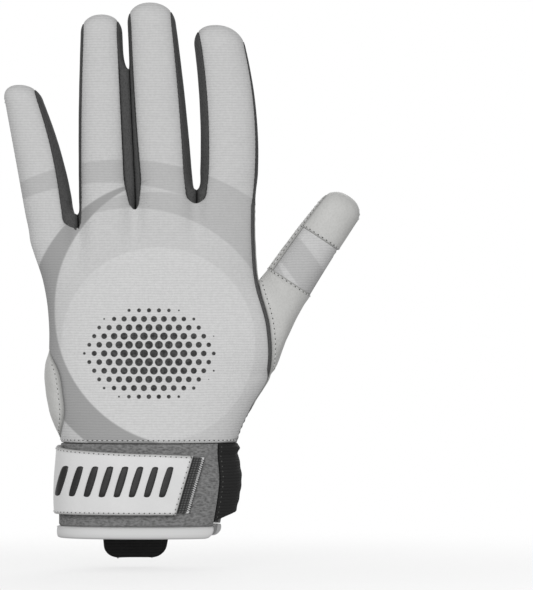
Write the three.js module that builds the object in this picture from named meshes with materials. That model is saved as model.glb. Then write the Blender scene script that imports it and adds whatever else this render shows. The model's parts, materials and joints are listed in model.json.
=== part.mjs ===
// Padded inner glove for a baseball catcher, worn on the left hand under the mitt.
// Millimetres. The origin is the middle of the wrist opening. +Z points to the
// fingertips, the back of the hand faces -Y and the thumb lies on the +X side.
// Every piece is a panel of one of four surfaces: the hand, a ribbon over a finger,
// the side of a finger and the thumb gusset. A panel is a curved slab between two
// depths below its surface, and neighbours stop one seam gap apart.

import * as THREE from 'three';

// Fabric thickness and fit
const seamGap = 0.3;
const seatGap = 0.3;
const wall = {
  knit: 1.2,
  leather: 1.2,
  side: 0.9,
  band: 1.8,
  binding: 1.8,
  elastic: 1.1,
  hook: 0.9,
  strap: 1.6,
  pull: 2,
  fingerFoam: 1.6,
  palmFoam: 3,
};

// How square the oval sections are: 2 is an ellipse, more is squarer
const fingerSquareness = 2.2;

// Heights above the rim of the cuff
const cuff = { bindingHeight: 5.2, middle: 24, height: 41 };
const thumbSeam = { low: 70.5, middle: 91, crotch: 111.4, opening: 8, gap: 0.6, clear: 3, wrapEnd: 9 };
const heelLevel = 56;

// The four fingers, from the little finger to the index finger. Each one starts at its
// knuckle height, bends at its joint and ends at its tip. Reach is how far the side
// piece turns from the edge of the finger to the back and to the palm, in degrees.
const fingerSizes = {
  little: {
    gapBefore: 0, knuckle: 129.5, joint: 152, tip: 197, lean: -15, bow: 1.5,
    rootWidth: 20.6, middleWidth: 20.8, tipWidth: 15, rootDepth: 19, tipDepth: 15,
    ulnar: { back: 0, palm: 0, crown: 0 },
    radial: { back: 52, palm: 18, crown: 34 },
  },
  ring: {
    gapBefore: 0.9, knuckle: 139.5, joint: 163, tip: 228, lean: -1.4, bow: -0.3,
    rootWidth: 22, middleWidth: 20.6, tipWidth: 17.4, rootDepth: 20.5, tipDepth: 16,
    ulnar: { back: 27, palm: 40, crown: 30 },
    radial: { back: 47, palm: 18, crown: 34 },
  },
  middle: {
    gapBefore: 4.5, knuckle: 145.4, joint: 168, tip: 233, lean: -7.5, bow: 0,
    rootWidth: 23.4, middleWidth: 23.4, tipWidth: 20, rootDepth: 21, tipDepth: 17,
    ulnar: { back: 27, palm: 40, crown: 30 },
    radial: { back: 47, palm: 18, crown: 34 },
  },
  index: {
    gapBefore: 1.8, knuckle: 144.6, joint: 168, tip: 223, lean: -5, bow: 3.1,
    rootWidth: 25, middleWidth: 24.6, tipWidth: 21, rootDepth: 21, tipDepth: 17,
    ulnar: { back: 24, palm: 40, crown: 30 },
    radial: { back: 28, palm: 6, crown: 16 },
  },
};
const fingers = Object.entries(fingerSizes).map(([name, sizes]) => ({ name, ...sizes }));
const knuckleUlnarEdge = 50;
const crownShare = 0.5;      // height of a fingertip's crown as a share of its width
const crownOverlapTurn = 25; // degrees that the back wraps over the fingertip
const sideCrownShare = 0.9;  // how much of its reach over the crown a side piece takes

// The thumb is built like a finger in its own frame and then leant outwards
const thumb = {
  name: 'thumb', knuckle: 0, joint: 22.6, tip: 44.6, lean: 1.4, bow: -0.4,
  rootWidth: 21.4, middleWidth: 19.4, tipWidth: 17, rootDepth: 20, tipDepth: 16,
  ulnar: { back: 34, palm: 26, crown: 26 },
  radial: { back: 0, palm: 0, crown: 0 },
  rootX: 0,
};
const thumbPlace = { x: 63, height: 111.4, leanTurn: 33.4 };

// Padding: raised pillows in the leather, each with a foam insert behind it
const pillow = {
  height: 1, palmHeight: 1.8, margin: 2.6, tipLengthShare: 0.6, widthShare: 0.74,
  foamShare: 0.82, foamGap: 0.8,
};
const palmPad = { x: 13.5, belowKnuckles: 30.4, width: 50, length: 42, cornerShare: 0.75 };

// Webs between the fingers, and the valleys that lead to them
const web = { lap: 1.4, flare: 1.6, valleyShare: 0.35, valleyWidth: 4.5, valleyRise: 26 };

// Wrist closure and trims
const piping = { width: 1.4 };
const heelRoll = { low: 43, high: 82, turn: 30, height: 2.4 };
const wristSlit = { height: 59, turn: 38 };
const sidePanel = { backTurn: 41, palmTurn: 33, low: 7.5, lift: 3.5 };
const strap = {
  rootTurn: 186, topEndX: 20, lowEndX: 13, rootHigh: 40, endHigh: 36, low: 10.5, liftShare: 1 / 3,
};
const hookPatch = { startX: -12, show: 6, margin: 0.8 };
const pullTab = { topWidth: 37, lowWidth: 25, x: -2.7, lowX: -4.8, high: 33.5, drop: 43.5, corner: 5 };

// Mesh density of the panels, and how often the knuckle line is closed in on
const grid = {
  fingerAcross: 6, baseAlong: 4, tipAlong: 10, sideAcross: 3, sideTipAlong: 9,
  handAlong: 14, backAcross: 22, palmAcross: 28, pipingAcross: 1, gussetRound: 24, gussetAlong: 4,
  webAcross: 2, webAlong: 4, slitAcross: 4, slitAlong: 3, palmPad: 8, padAcross: 4, padAlong: 5,
  cuffRound: 30, cuffAlong: 3, sidePanelAcross: 8, sidePanelAlong: 4,
  hookAcross: 10, hookAlong: 3, strapAcross: 14, strapAlong: 5, pullAcross: 10, pullAlong: 7,
};
const knuckleRounds = 8;

const degree = Math.PI / 180;
const quarterTurn = Math.PI / 2;
const fullTurn = Math.PI * 2;
const mix = THREE.MathUtils.lerp;
const clamp = THREE.MathUtils.clamp;

// A sine or cosine raised so that an oval becomes as square as asked
function squared(value, squareness) {
  return Math.sign(value) * Math.abs(value) ** (2 / squareness);
}

// A smooth hill: 1 in the middle of a square of half size 1 and 0 on its rim
function hill(p, q) {
  if (Math.abs(p) >= 1 || Math.abs(q) >= 1) return 0;
  return (1 - p ** 4) * (1 - q ** 4);
}

// Where the fingers stand side by side across the knuckles
let edge = -knuckleUlnarEdge;
for (const finger of fingers) {
  finger.leftEdge = edge + finger.gapBefore;
  finger.rootX = finger.leftEdge + finger.rootWidth / 2;
  edge = finger.leftEdge + finger.rootWidth;
}
const knuckleRadialEdge = edge;
const highestKnuckle = Math.max(...fingers.map((finger) => finger.knuckle));
const palmPadHeight = highestKnuckle - palmPad.belowKnuckles;

// The line of the knuckles: straight between the middles of the fingers
function knuckleHeight(x) {
  let upper = fingers.findIndex((finger) => finger.rootX > x);
  if (upper < 1) upper = upper === 0 ? 1 : fingers.length - 1;
  const [a, b] = [fingers[upper - 1], fingers[upper]];
  return mix(a.knuckle, b.knuckle, (x - a.rootX) / (b.rootX - a.rootX));
}

// The hand from the rim of the cuff to the webs. Each level gives how far the section
// reaches to the ulnar and to the radial side, its depth and its squareness.
const handSizes = {
  rim: { height: 0, ulnar: 37.4, radial: 37.5, depth: 46, squareness: 2.3 },
  cuff: { height: cuff.middle, ulnar: 37.2, radial: 41.6, depth: 44.5, squareness: 2.3 },
  wrist: { height: cuff.height, ulnar: 36.6, radial: 40.6, depth: 42, squareness: 2.4 },
  heel: { height: heelLevel, ulnar: 39.6, radial: 46.6, depth: 39, squareness: 2.5 },
  thumbLow: { height: thumbSeam.low, ulnar: 41.6, radial: 54.6, depth: 36.5, squareness: 2.6 },
  thumbMiddle: { height: thumbSeam.middle, ulnar: 41.8, radial: 54.8, depth: 33.5, squareness: 2.6 },
  thumbHigh: { height: thumbSeam.crotch, ulnar: 44.3, radial: 49.6, depth: 29.5, squareness: 2.8 },
  lowKnuckle: {
    height: fingers[0].knuckle, ulnar: knuckleUlnarEdge, radial: knuckleRadialEdge,
    depth: 25.5, squareness: 3.2,
  },
  highKnuckle: {
    height: highestKnuckle, ulnar: knuckleUlnarEdge, radial: knuckleRadialEdge,
    depth: 22.5, squareness: 3.4,
  },
};
const handLevels = Object.values(handSizes);

// A smooth value between the levels: a cubic whose slopes follow the neighbours
function levelValue(key, height) {
  const last = handLevels.length - 1;
  const at = clamp(height, handLevels[0].height, handLevels[last].height);
  let i = 0;
  while (i < last - 1 && handLevels[i + 1].height < at) i += 1;
  const slope = (k) => {
    const before = handLevels[Math.max(k - 1, 0)];
    const after = handLevels[Math.min(k + 1, last)];
    return (after[key] - before[key]) / (after.height - before.height);
  };
  const [a, b] = [handLevels[i], handLevels[i + 1]];
  const span = b.height - a.height;
  const t = (at - a.height) / span;
  const rise = t * t * (3 - 2 * t);
  const lead = t * (1 - t) * span;
  return mix(a[key], b[key], rise) + lead * ((1 - t) * slope(i) - t * slope(i + 1));
}

// How far the section bulges past the thumb seam, where the thumb grows out of it
function thumbOpening(height, grow) {
  const half = (thumbSeam.crotch - thumbSeam.low) / 2 + grow;
  const t = (height - (thumbSeam.crotch + thumbSeam.low) / 2) / half;
  return thumbSeam.opening * Math.max(0, 1 - t * t);
}

function handSection(height, inset) {
  const radial = levelValue('radial', height) + thumbOpening(height, 0);
  const ulnar = levelValue('ulnar', height);
  return {
    middle: (radial - ulnar) / 2,
    halfWidth: (radial + ulnar) / 2 - inset,
    halfDepth: levelValue('depth', height) / 2 - inset,
    squareness: levelValue('squareness', height),
  };
}

// Valleys between the knuckles deepen towards the webs
function valleyShare(x, height) {
  const rise = THREE.MathUtils.smoothstep(height, knuckleHeight(x) - web.valleyRise, knuckleHeight(x));
  let sum = 0;
  for (const finger of fingers.slice(1)) {
    const away = (x - finger.leftEdge + finger.gapBefore / 2) / web.valleyWidth;
    sum += Math.exp(-away * away);
  }
  return web.valleyShare * rise * sum;
}

// Point of the hand by its turn round the section: 0 at the radial edge, a quarter at
// the back, a half at the ulnar edge and three quarters at the palm
function handPoint(turn, height, inset) {
  const section = handSection(height, inset);
  const x = section.middle + section.halfWidth * squared(Math.cos(turn), section.squareness);
  const y = -section.halfDepth * squared(Math.sin(turn), section.squareness);
  return new THREE.Vector3(x, y * (1 - valleyShare(x, height)), height);
}

// The turn at which the back of the hand reaches a place across it
function handTurn(x, height, inset = 0) {
  const section = handSection(height, inset);
  const share = clamp((x - section.middle) / section.halfWidth, -1, 1);
  return Math.acos(Math.sign(share) * Math.abs(share) ** (section.squareness / 2));
}

// The turn at which a panel ends, a little short of the thumb seam, or short of the
// radial edge where there is no opening for the thumb
function thumbSeamTurn(height, short) {
  const seamX = levelValue('radial', height) + thumbOpening(height, 0) - thumbOpening(height, thumbSeam.gap);
  return handTurn(seamX - short, height);
}

// The turn of the seam on the ulnar side, which the heel of the palm pushes to the back
function ulnarSeamTurn(height) {
  const t = (height - heelRoll.low) / (heelRoll.high - heelRoll.low);
  const push = t > 0 && t < 1 ? Math.sin(Math.PI * t) : 0;
  return Math.PI - heelRoll.turn * degree * Math.sqrt(push);
}

// The turn where the piping and what lies beside it meet
function pipingTurn(height) {
  return thumbSeamTurn(height, thumbSeam.gap - seamGap);
}

// How far short of the radial edge the palm leather ends. It stays on the palm side along
// the thumb's opening and at the wrist slit, and wraps round to the piping elsewhere.
function palmEdgeTurn(height, seamTurn) {
  const beyond = Math.max(thumbSeam.low - height, height - thumbSeam.crotch);
  const wrap = THREE.MathUtils.smoothstep(beyond, thumbSeam.clear, thumbSeam.wrapEnd);
  const open = clamp((wristSlit.height - height) / (wristSlit.height - cuff.height), 0, 1);
  const closed = mix(pipingTurn(height) + seamTurn, -pipingTurn(height), wrap);
  return mix(closed, wristSlit.turn * degree + seamTurn, open);
}

// A finger at one height: where its middle is and how wide and deep it is
function fingerSection(finger, height) {
  const t = (height - finger.knuckle) / (finger.tip - finger.knuckle);
  const hump = 4 * t * (1 - t);
  const straight = mix(finger.rootWidth, finger.tipWidth, t);
  const extra = finger.middleWidth - (finger.rootWidth + finger.tipWidth) / 2;
  return {
    x: finger.rootX + finger.lean * t + finger.bow * hump,
    halfWidth: (straight + extra * hump) / 2,
    halfDepth: mix(finger.rootDepth, finger.tipDepth, t) / 2,
  };
}

function crownHeight(finger) {
  return finger.tipWidth * crownShare;
}

function crownStart(finger) {
  return finger.tip - crownHeight(finger);
}

// Point of a ribbon that runs up one face of a finger and over its tip. The turn goes
// from edge to edge, and past the start of the crown the station is an arc.
function ribbonPoint(finger, face, turn, station, inset) {
  const base = Math.min(station, crownStart(finger));
  const roll = (station - base) / crownHeight(finger);
  const section = fingerSection(finger, base);
  const out = squared(Math.cos(turn), fingerSquareness);
  const y = face * (section.halfDepth - inset) * out * squared(Math.cos(roll), fingerSquareness);
  const z = base + (crownHeight(finger) - inset) * out * squared(Math.sin(roll), fingerSquareness);
  const across = (section.halfWidth - inset) * squared(Math.sin(turn), fingerSquareness);
  return new THREE.Vector3(fingerSection(finger, z).x + across, y, z);
}

// Point on the side of a finger. The swing goes from the back to the palm, and past the
// start of the crown the station climbs over the tip as an angle.
function sidePoint(finger, side, swing, station, inset) {
  const base = Math.min(station, crownStart(finger));
  const climb = (station - base) / crownHeight(finger);
  const ring = Math.hypot(swing, climb);
  const heading = Math.atan2(climb, swing);
  const section = fingerSection(finger, base);
  const away = squared(Math.sin(ring), fingerSquareness);
  const y = (section.halfDepth - inset) * away * squared(Math.cos(heading), fingerSquareness);
  const z = base + (crownHeight(finger) - inset) * away * squared(Math.sin(heading), fingerSquareness);
  const across = side * (section.halfWidth - inset) * squared(Math.cos(ring), fingerSquareness);
  return new THREE.Vector3(fingerSection(finger, z).x + across, y, z);
}

// How far the side piece reaches round from the edge towards one face
function sideReach(finger, side, face, station) {
  const reach = side < 0 ? finger.ulnar : finger.radial;
  const from = face < 0 ? reach.back : reach.palm;
  const t = clamp((station - finger.knuckle) / (crownStart(finger) - finger.knuckle), 0, 1);
  return mix(from, reach.crown, t) * degree;
}

// Where a ribbon stops short of the side piece, or short of the other ribbon
function ribbonTurn(finger, side, face, station) {
  const gapTurn = seamGap / fingerSection(finger, Math.min(station, crownStart(finger))).halfWidth;
  return side * (quarterTurn - sideReach(finger, side, face, station) - gapTurn);
}

// The height where an edge of the hand or of a finger meets the knuckle line, found by
// closing in on it along the edge
function meetKnuckles(xAt) {
  let height = highestKnuckle;
  for (let round = 0; round < knuckleRounds; round += 1) height = knuckleHeight(xAt(height));
  return height;
}

// The height where a finger's pieces begin, over the knuckle line or the thumb seam
function fingerFoot(finger, xAt) {
  return (finger === thumb ? 0 : meetKnuckles(xAt)) + seamGap;
}

// A closed curved slab. Place gives a point for two shares and a face, 0 outside and 1
// inside. A ring closes on itself across, and other slabs have four side walls.
function slab(across, along, place, ring = false) {
  const columns = ring ? across : across + 1;
  const rows = along + 1;
  const positions = [];
  for (const face of [0, 1]) {
    for (let j = 0; j < rows; j += 1) {
      for (let i = 0; i < columns; i += 1) {
        positions.push(...place(i / across, j / along, face).toArray());
      }
    }
  }
  const at = (i, j, face) => face * rows * columns + j * columns + (i % columns);
  const index = [];
  const quad = (a, b, c, d) => index.push(a, b, c, a, c, d);
  for (let j = 0; j < along; j += 1) {
    for (let i = 0; i < across; i += 1) {
      quad(at(i, j, 0), at(i + 1, j, 0), at(i + 1, j + 1, 0), at(i, j + 1, 0));
      quad(at(i, j, 1), at(i, j + 1, 1), at(i + 1, j + 1, 1), at(i + 1, j, 1));
    }
  }
  for (let i = 0; i < across; i += 1) {
    quad(at(i, 0, 1), at(i + 1, 0, 1), at(i + 1, 0, 0), at(i, 0, 0));
    quad(at(i, along, 0), at(i + 1, along, 0), at(i + 1, along, 1), at(i, along, 1));
  }
  if (!ring) {
    for (let j = 0; j < along; j += 1) {
      quad(at(0, j, 0), at(0, j + 1, 0), at(0, j + 1, 1), at(0, j, 1));
      quad(at(across, j, 1), at(across, j + 1, 1), at(across, j + 1, 0), at(across, j, 0));
    }
  }
  return facingOut(positions, index);
}

// Turns every triangle over if the body came out inside out
function facingOut(positions, index) {
  const corner = (k) => new THREE.Vector3().fromArray(positions, index[k] * 3);
  let volume = 0;
  for (let k = 0; k < index.length; k += 3) {
    volume += corner(k).dot(corner(k + 1).cross(corner(k + 2)));
  }
  if (volume < 0) index.reverse();
  const geometry = new THREE.BufferGeometry();
  geometry.setAttribute('position', new THREE.Float32BufferAttribute(positions, 3));
  geometry.setIndex(index);
  geometry.computeVertexNormals();
  return geometry;
}

// Two shares from -1 to 1 drawn in at the corners, so that a square becomes a cushion
function cushionShares(a, b, corner) {
  const [p, q] = [2 * a - 1, 2 * b - 1];
  return [p * Math.sqrt(1 - corner * q * q / 2), q * Math.sqrt(1 - corner * p * p / 2)];
}

// Finishes
const finish = (color, roughness) => new THREE.MeshStandardMaterial({ color, roughness, metalness: 0 });
const looks = {
  knit: finish(0xdedede, 0.85),
  leather: finish(0xd4d4d2, 0.6),
  stretch: finish(0x525252, 0.8),
  band: finish(0x7a7a7a, 0.95),
  binding: finish(0xf0f0f0, 0.8),
  strap: finish(0xe4e4e4, 0.7),
  hook: finish(0x4a4a4a, 0.9),
  black: finish(0x1a1a1a, 0.8),
  elastic: finish(0x6c6c6c, 0.85),
  foam: finish(0xb9bcc0, 0.9),
};

function piece(group, name, look, geometry) {
  const mesh = new THREE.Mesh(geometry, look);
  mesh.name = name;
  group.add(mesh);
}

// A panel of the hand between two seams, each given by its turn at a height
function handPanel(across, startTurn, endTurn, low, thickness, raise = () => 0) {
  return slab(across, grid.handAlong, (a, b, face) => {
    const turnAt = (height) => mix(startTurn(height), endTurn(height), a);
    const top = meetKnuckles((at) => handPoint(turnAt(at), at, 0).x);
    const height = mix(low, top, b);
    const turn = turnAt(height);
    return handPoint(turn, height, face * thickness - raise(turn, height));
  });
}

function palmPillow(x, height) {
  const p = (x - palmPad.x) / (palmPad.width / 2);
  const q = (height - palmPadHeight) / (palmPad.length / 2);
  return pillow.palmHeight * hill(p, q);
}

function palmRaise(turn, height) {
  const roll = (turn - ulnarSeamTurn(height)) / (2 * heelRoll.turn * degree) - 1;
  const climb = (2 * height - heelRoll.low - heelRoll.high) / (heelRoll.high - heelRoll.low);
  return palmPillow(handPoint(turn, height, 0).x, height) + heelRoll.height * hill(roll, climb);
}

function addHand(group) {
  const low = cuff.height + seamGap;
  const seamTurn = (height) => seamGap / handSection(height, 0).halfDepth;
  const pipeEnd = (height) => thumbSeamTurn(height, thumbSeam.gap + piping.width);
  const backStart = (height) => pipeEnd(height) + seamTurn(height);
  const pipeStart = (height) => pipingTurn(height) + seamTurn(height);
  const palmEnd = (height) => fullTurn - palmEdgeTurn(height, seamTurn(height));
  piece(group, 'back_knit_panel', looks.knit, handPanel(
    grid.backAcross, backStart, (height) => ulnarSeamTurn(height) - seamTurn(height), low, wall.knit,
  ));
  piece(group, 'thumb_seam_piping', looks.stretch, handPanel(
    grid.pipingAcross, pipeStart, pipeEnd, low, wall.knit,
  ));
  piece(group, 'palm_leather_panel', looks.leather, handPanel(
    grid.palmAcross, ulnarSeamTurn, palmEnd, low, wall.leather, palmRaise,
  ));
  // The slit's gusset fills the lowest rows of the palm panel, beside its edge
  const edgeTop = meetKnuckles((height) => handPoint(palmEnd(height), height, 0).x);
  const slitTop = mix(low, edgeTop, grid.slitAlong / grid.handAlong);
  piece(group, 'wrist_slit_gusset', looks.elastic, slab(grid.slitAcross, grid.slitAlong, (a, b, face) => {
    const height = mix(low, slitTop, b);
    const palmSide = palmEdgeTurn(height, seamTurn(height)) - seamTurn(height);
    return handPoint(fullTurn - mix(-pipingTurn(height), palmSide, a), height, face * wall.elastic);
  }));
  piece(group, 'palm_foam_pad', looks.foam, slab(grid.palmPad, grid.palmPad, (a, b, face) => {
    const [p, q] = cushionShares(a, b, palmPad.cornerShare);
    const x = palmPad.x + p * pillow.foamShare * palmPad.width / 2;
    const height = palmPadHeight + q * pillow.foamShare * palmPad.length / 2;
    const inset = wall.leather + pillow.foamGap + (face ? wall.palmFoam : -palmPillow(x, height));
    return handPoint(fullTurn - handTurn(x, height), height, inset);
  }));
}

function addWebs(group) {
  for (let i = 1; i < fingers.length; i += 1) {
    const [outer, inner] = [fingers[i - 1], fingers[i]];
    const middle = inner.leftEdge - inner.gapBefore / 2;
    const height = knuckleHeight(middle);
    const valley = Math.abs(handPoint(handTurn(middle, height), height, wall.leather).y) - seatGap;
    const name = `web_${outer.name}_${inner.name}`;
    piece(group, name, looks.stretch, slab(grid.webAcross, grid.webAlong, (a, b, face) => {
      const y = 2 * b - 1;
      const half = inner.gapBefore / 2 + web.lap + web.flare * y * y;
      const x = middle + mix(-half, half, a);
      return new THREE.Vector3(x, valley * y, knuckleHeight(x) - seamGap - face * wall.side);
    }));
  }
}

// The leather sleeve that grows from the thumb seam on the hand into the thumb's root
function addThumbGusset(group) {
  const place = new THREE.Matrix4().makeRotationY(thumbPlace.leanTurn * degree);
  place.setPosition(thumbPlace.x, 0, thumbPlace.height);
  const low = thumbSeam.low;
  const high = thumbSeam.crotch;
  piece(group, 'thumb_gusset', looks.leather, slab(grid.gussetRound, grid.gussetAlong, (a, b, face) => {
    const turn = a * fullTurn;
    const height = mix(low, high, (1 - Math.cos(turn)) / 2);
    const seamTurn = handTurn(levelValue('radial', height), height);
    const side = turn <= Math.PI ? 1 : -1;
    const start = handPoint(side * seamTurn, height, face * wall.leather);
    const section = fingerSection(thumb, 0);
    const inset = face * wall.leather;
    const end = new THREE.Vector3(
      (section.halfWidth - inset) * squared(Math.cos(turn), fingerSquareness),
      -(section.halfDepth - inset) * squared(Math.sin(turn), fingerSquareness),
      0,
    ).applyMatrix4(place);
    return start.lerp(end, b);
  }, true));
}

function addCuff(group) {
  const gapTurn = seamGap / (handLevels[0].depth / 2);
  const start = sidePanel.backTurn * degree + gapTurn;
  const end = fullTurn - sidePanel.palmTurn * degree - gapTurn;
  const round = (low, high, outset, thickness) => slab(grid.cuffRound, grid.cuffAlong, (a, b, face) => {
    return handPoint(mix(start, end, a), mix(low, high, b), face * thickness - outset);
  });
  piece(group, 'cuff_band', looks.band, round(cuff.bindingHeight + seamGap, cuff.height, 0, wall.band));
  piece(group, 'cuff_binding', looks.binding, round(0, cuff.bindingHeight, 0, wall.binding));
  const [panelAcross, panelAlong] = [grid.sidePanelAcross, grid.sidePanelAlong];
  piece(group, 'side_stretch_panel', looks.black, slab(panelAcross, panelAlong, (a, b, face) => {
    const turn = mix(-sidePanel.palmTurn, sidePanel.backTurn, a) * degree;
    const arch = 1 - (2 * a - 1) ** 2;
    const height = mix(sidePanel.low + sidePanel.lift * arch, cuff.height, b);
    return handPoint(turn, height, face * wall.band);
  }));
}

// The slanted free end of the strap tab, as a place across the back
function strapEndX(height) {
  const t = (height - strap.low) / (strap.endHigh - strap.low);
  return mix(strap.lowEndX, strap.topEndX, t);
}

function addClosure(group) {
  const hookSeat = seatGap + wall.hook;
  piece(group, 'hook_patch', looks.hook, slab(grid.hookAcross, grid.hookAlong, (a, b, face) => {
    const height = mix(strap.low + hookPatch.margin, strap.endHigh - hookPatch.margin, b);
    const x = mix(strapEndX(height) + hookPatch.show, hookPatch.startX, a);
    return handPoint(handTurn(x, height), height, face ? -seatGap : -hookSeat);
  }));
  piece(group, 'strap_tab', looks.strap, slab(grid.strapAcross, grid.strapAlong, (a, b, face) => {
    const high = mix(strap.endHigh, strap.rootHigh, a);
    const height = mix(strap.low, high, b);
    const endTurn = handTurn(strapEndX(height), height);
    const turn = mix(endTurn, strap.rootTurn * degree, a);
    const lift = THREE.MathUtils.smoothstep(1 - a, 0, strap.liftShare);
    const inner = mix(seatGap, hookSeat + seatGap, lift);
    return handPoint(turn, height, -inner - (face ? 0 : wall.strap));
  }));
  piece(group, 'pull_tab', looks.black, slab(grid.pullAcross, grid.pullAlong, (a, b, face) => {
    const [p, q] = [2 * a - 1, Math.cos(b * quarterTurn)];
    const past = Math.max(0, 1 - (1 - q) * pullTab.drop / pullTab.corner);
    const drawn = pullTab.corner * (1 - Math.sqrt(1 - past * past));
    const half = mix(pullTab.topWidth, pullTab.lowWidth, q) / 2 - drawn;
    const x = mix(pullTab.x, pullTab.lowX, q) + p * half;
    const height = pullTab.high - q * pullTab.drop;
    const level = Math.max(height, 0);
    const seat = handPoint(fullTurn - handTurn(x, level), level, -seatGap - (face ? 0 : wall.pull));
    return seat.setZ(height);
  }));
}

// The pillow of a finger's leather, and the foam behind it, between two stations
function pillowSpan(finger, part) {
  if (part === 'base') return [finger.knuckle + pillow.margin, finger.joint - pillow.margin];
  const start = finger.joint + pillow.margin;
  return [start, start + (finger.tip - start) * pillow.tipLengthShare];
}

function fingerPillow(finger, part, turn, station) {
  const [low, high] = pillowSpan(finger, part);
  const p = turn / (quarterTurn * pillow.widthShare);
  const q = (2 * station - low - high) / (high - low);
  return pillow.height * hill(p, q);
}

// The ends of a finger's piece: over the knuckle, at the joint or over the tip
function span(finger, part, face, xAt) {
  if (part === 'base') return [fingerFoot(finger, xAt), finger.joint - seamGap / 2];
  const tipGapTurn = face > 0 ? seamGap / finger.tipDepth : 0;
  const overTip = quarterTurn - face * crownOverlapTurn * degree - tipGapTurn;
  return [finger.joint + seamGap / 2, crownStart(finger) + crownHeight(finger) * overTip];
}

function ribbon(finger, part, face, thickness, padded) {
  const along = part === 'base' ? grid.baseAlong : grid.tipAlong;
  return slab(grid.fingerAcross, along, (a, b, side) => {
    const turnAt = (station) => {
      const from = ribbonTurn(finger, -1, face, station);
      return mix(from, ribbonTurn(finger, 1, face, station), a);
    };
    const xAt = (station) => ribbonPoint(finger, face, turnAt(station), station, 0).x;
    const [low, high] = span(finger, part, face, xAt);
    const station = mix(low, high, b);
    const turn = turnAt(station);
    const raise = padded ? fingerPillow(finger, part, turn, station) : 0;
    return ribbonPoint(finger, face, turn, station, side * thickness - raise);
  });
}

function sideStrip(finger, part, side, thickness) {
  const along = part === 'base' ? grid.baseAlong : grid.sideTipAlong;
  const crownReach = (side < 0 ? finger.ulnar : finger.radial).crown * degree;
  const crownEnd = crownStart(finger) + crownHeight(finger) * crownReach * sideCrownShare;
  return slab(grid.sideAcross, along, (a, b, face) => {
    const swingAt = (station) => {
      const climb = Math.max(0, (station - crownStart(finger)) / crownHeight(finger));
      const reach = (towards) => Math.sqrt(sideReach(finger, side, towards, station) ** 2 - climb ** 2);
      return mix(-reach(-1), reach(1), a);
    };
    const xAt = (station) => sidePoint(finger, side, swingAt(station), station, 0).x;
    const [low, high] = span(finger, part, 0, xAt);
    const station = mix(low, part === 'base' ? high : crownEnd, b);
    return sidePoint(finger, side, swingAt(station), station, face * thickness);
  });
}

function fingerFoam(finger, part) {
  const [low, high] = pillowSpan(finger, part);
  return slab(grid.padAcross, grid.padAlong, (a, b, face) => {
    const [p, q] = cushionShares(a, b, palmPad.cornerShare);
    const turn = p * quarterTurn * pillow.widthShare * pillow.foamShare;
    const station = mix(low, high, (1 + q * pillow.foamShare) / 2);
    const raise = face ? 0 : fingerPillow(finger, part, turn, station);
    const inset = wall.leather + pillow.foamGap + face * wall.fingerFoam - raise;
    return ribbonPoint(finger, 1, turn, station, inset);
  });
}

function addFinger(group, finger) {
  for (const part of ['base', 'tip']) {
    const name = `${finger.name}_${part}`;
    piece(group, `${name}_knit`, looks.knit, ribbon(finger, part, -1, wall.knit, false));
    piece(group, `${name}_leather`, looks.leather, ribbon(finger, part, 1, wall.leather, true));
    piece(group, `${name}_foam`, looks.foam, fingerFoam(finger, part));
    for (const [side, edgeName] of [[-1, 'ulnar'], [1, 'radial']]) {
      if (finger[edgeName].back > 0) {
        const strip = sideStrip(finger, part, side, wall.side);
        piece(group, `${name}_fourchette_${edgeName}`, looks.stretch, strip);
      }
    }
  }
}

function addThumb(group) {
  const frame = new THREE.Group();
  frame.position.set(thumbPlace.x, 0, thumbPlace.height);
  frame.rotation.y = thumbPlace.leanTurn * degree;
  group.add(frame);
  piece(frame, 'thumb_base_knit', looks.knit, ribbon(thumb, 'base', -1, wall.knit, false));
  piece(frame, 'thumb_tip_cap', looks.leather, ribbon(thumb, 'tip', -1, wall.leather, false));
  piece(frame, 'thumb_tip_foam', looks.foam, fingerFoam(thumb, 'tip'));
  for (const part of ['base', 'tip']) {
    const padded = part === 'tip';
    piece(frame, `thumb_${part}_leather`, looks.leather, ribbon(thumb, part, 1, wall.leather, padded));
    piece(frame, `thumb_${part}_strip`, looks.leather, sideStrip(thumb, part, -1, wall.leather));
  }
}

const glove = new THREE.Group();
addHand(glove);
addWebs(glove);
addThumbGusset(glove);
addCuff(glove);
addClosure(glove);
for (const finger of fingers) addFinger(glove, finger);
addThumb(glove);

export default glove;
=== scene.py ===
# Padded inner glove for a catcher, dressed over its fixed frame.
# Sizes are in millimetres until a mesh is written. +Z points to the fingertips, the
# back of the hand faces -Y and the thumb lies on the +X side.
import json
import math

import bpy
import numpy as np
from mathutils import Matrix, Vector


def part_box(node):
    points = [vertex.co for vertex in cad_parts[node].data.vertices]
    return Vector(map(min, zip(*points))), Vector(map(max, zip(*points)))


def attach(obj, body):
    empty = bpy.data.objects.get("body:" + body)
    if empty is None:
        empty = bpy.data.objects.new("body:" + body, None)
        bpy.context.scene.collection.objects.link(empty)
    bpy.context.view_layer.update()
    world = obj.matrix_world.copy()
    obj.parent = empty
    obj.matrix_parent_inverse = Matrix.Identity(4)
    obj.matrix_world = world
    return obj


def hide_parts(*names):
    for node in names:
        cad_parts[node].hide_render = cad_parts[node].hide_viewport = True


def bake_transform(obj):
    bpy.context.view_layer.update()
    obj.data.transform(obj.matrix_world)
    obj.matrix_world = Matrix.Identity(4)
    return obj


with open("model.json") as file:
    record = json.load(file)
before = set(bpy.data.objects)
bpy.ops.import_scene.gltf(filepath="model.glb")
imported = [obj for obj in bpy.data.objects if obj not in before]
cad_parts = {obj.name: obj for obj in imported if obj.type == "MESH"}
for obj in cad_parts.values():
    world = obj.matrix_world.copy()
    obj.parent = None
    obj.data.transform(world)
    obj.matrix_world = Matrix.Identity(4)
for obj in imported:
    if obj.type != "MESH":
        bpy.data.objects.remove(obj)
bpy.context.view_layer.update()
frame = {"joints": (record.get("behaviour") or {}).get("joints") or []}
print("frame loaded")

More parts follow.
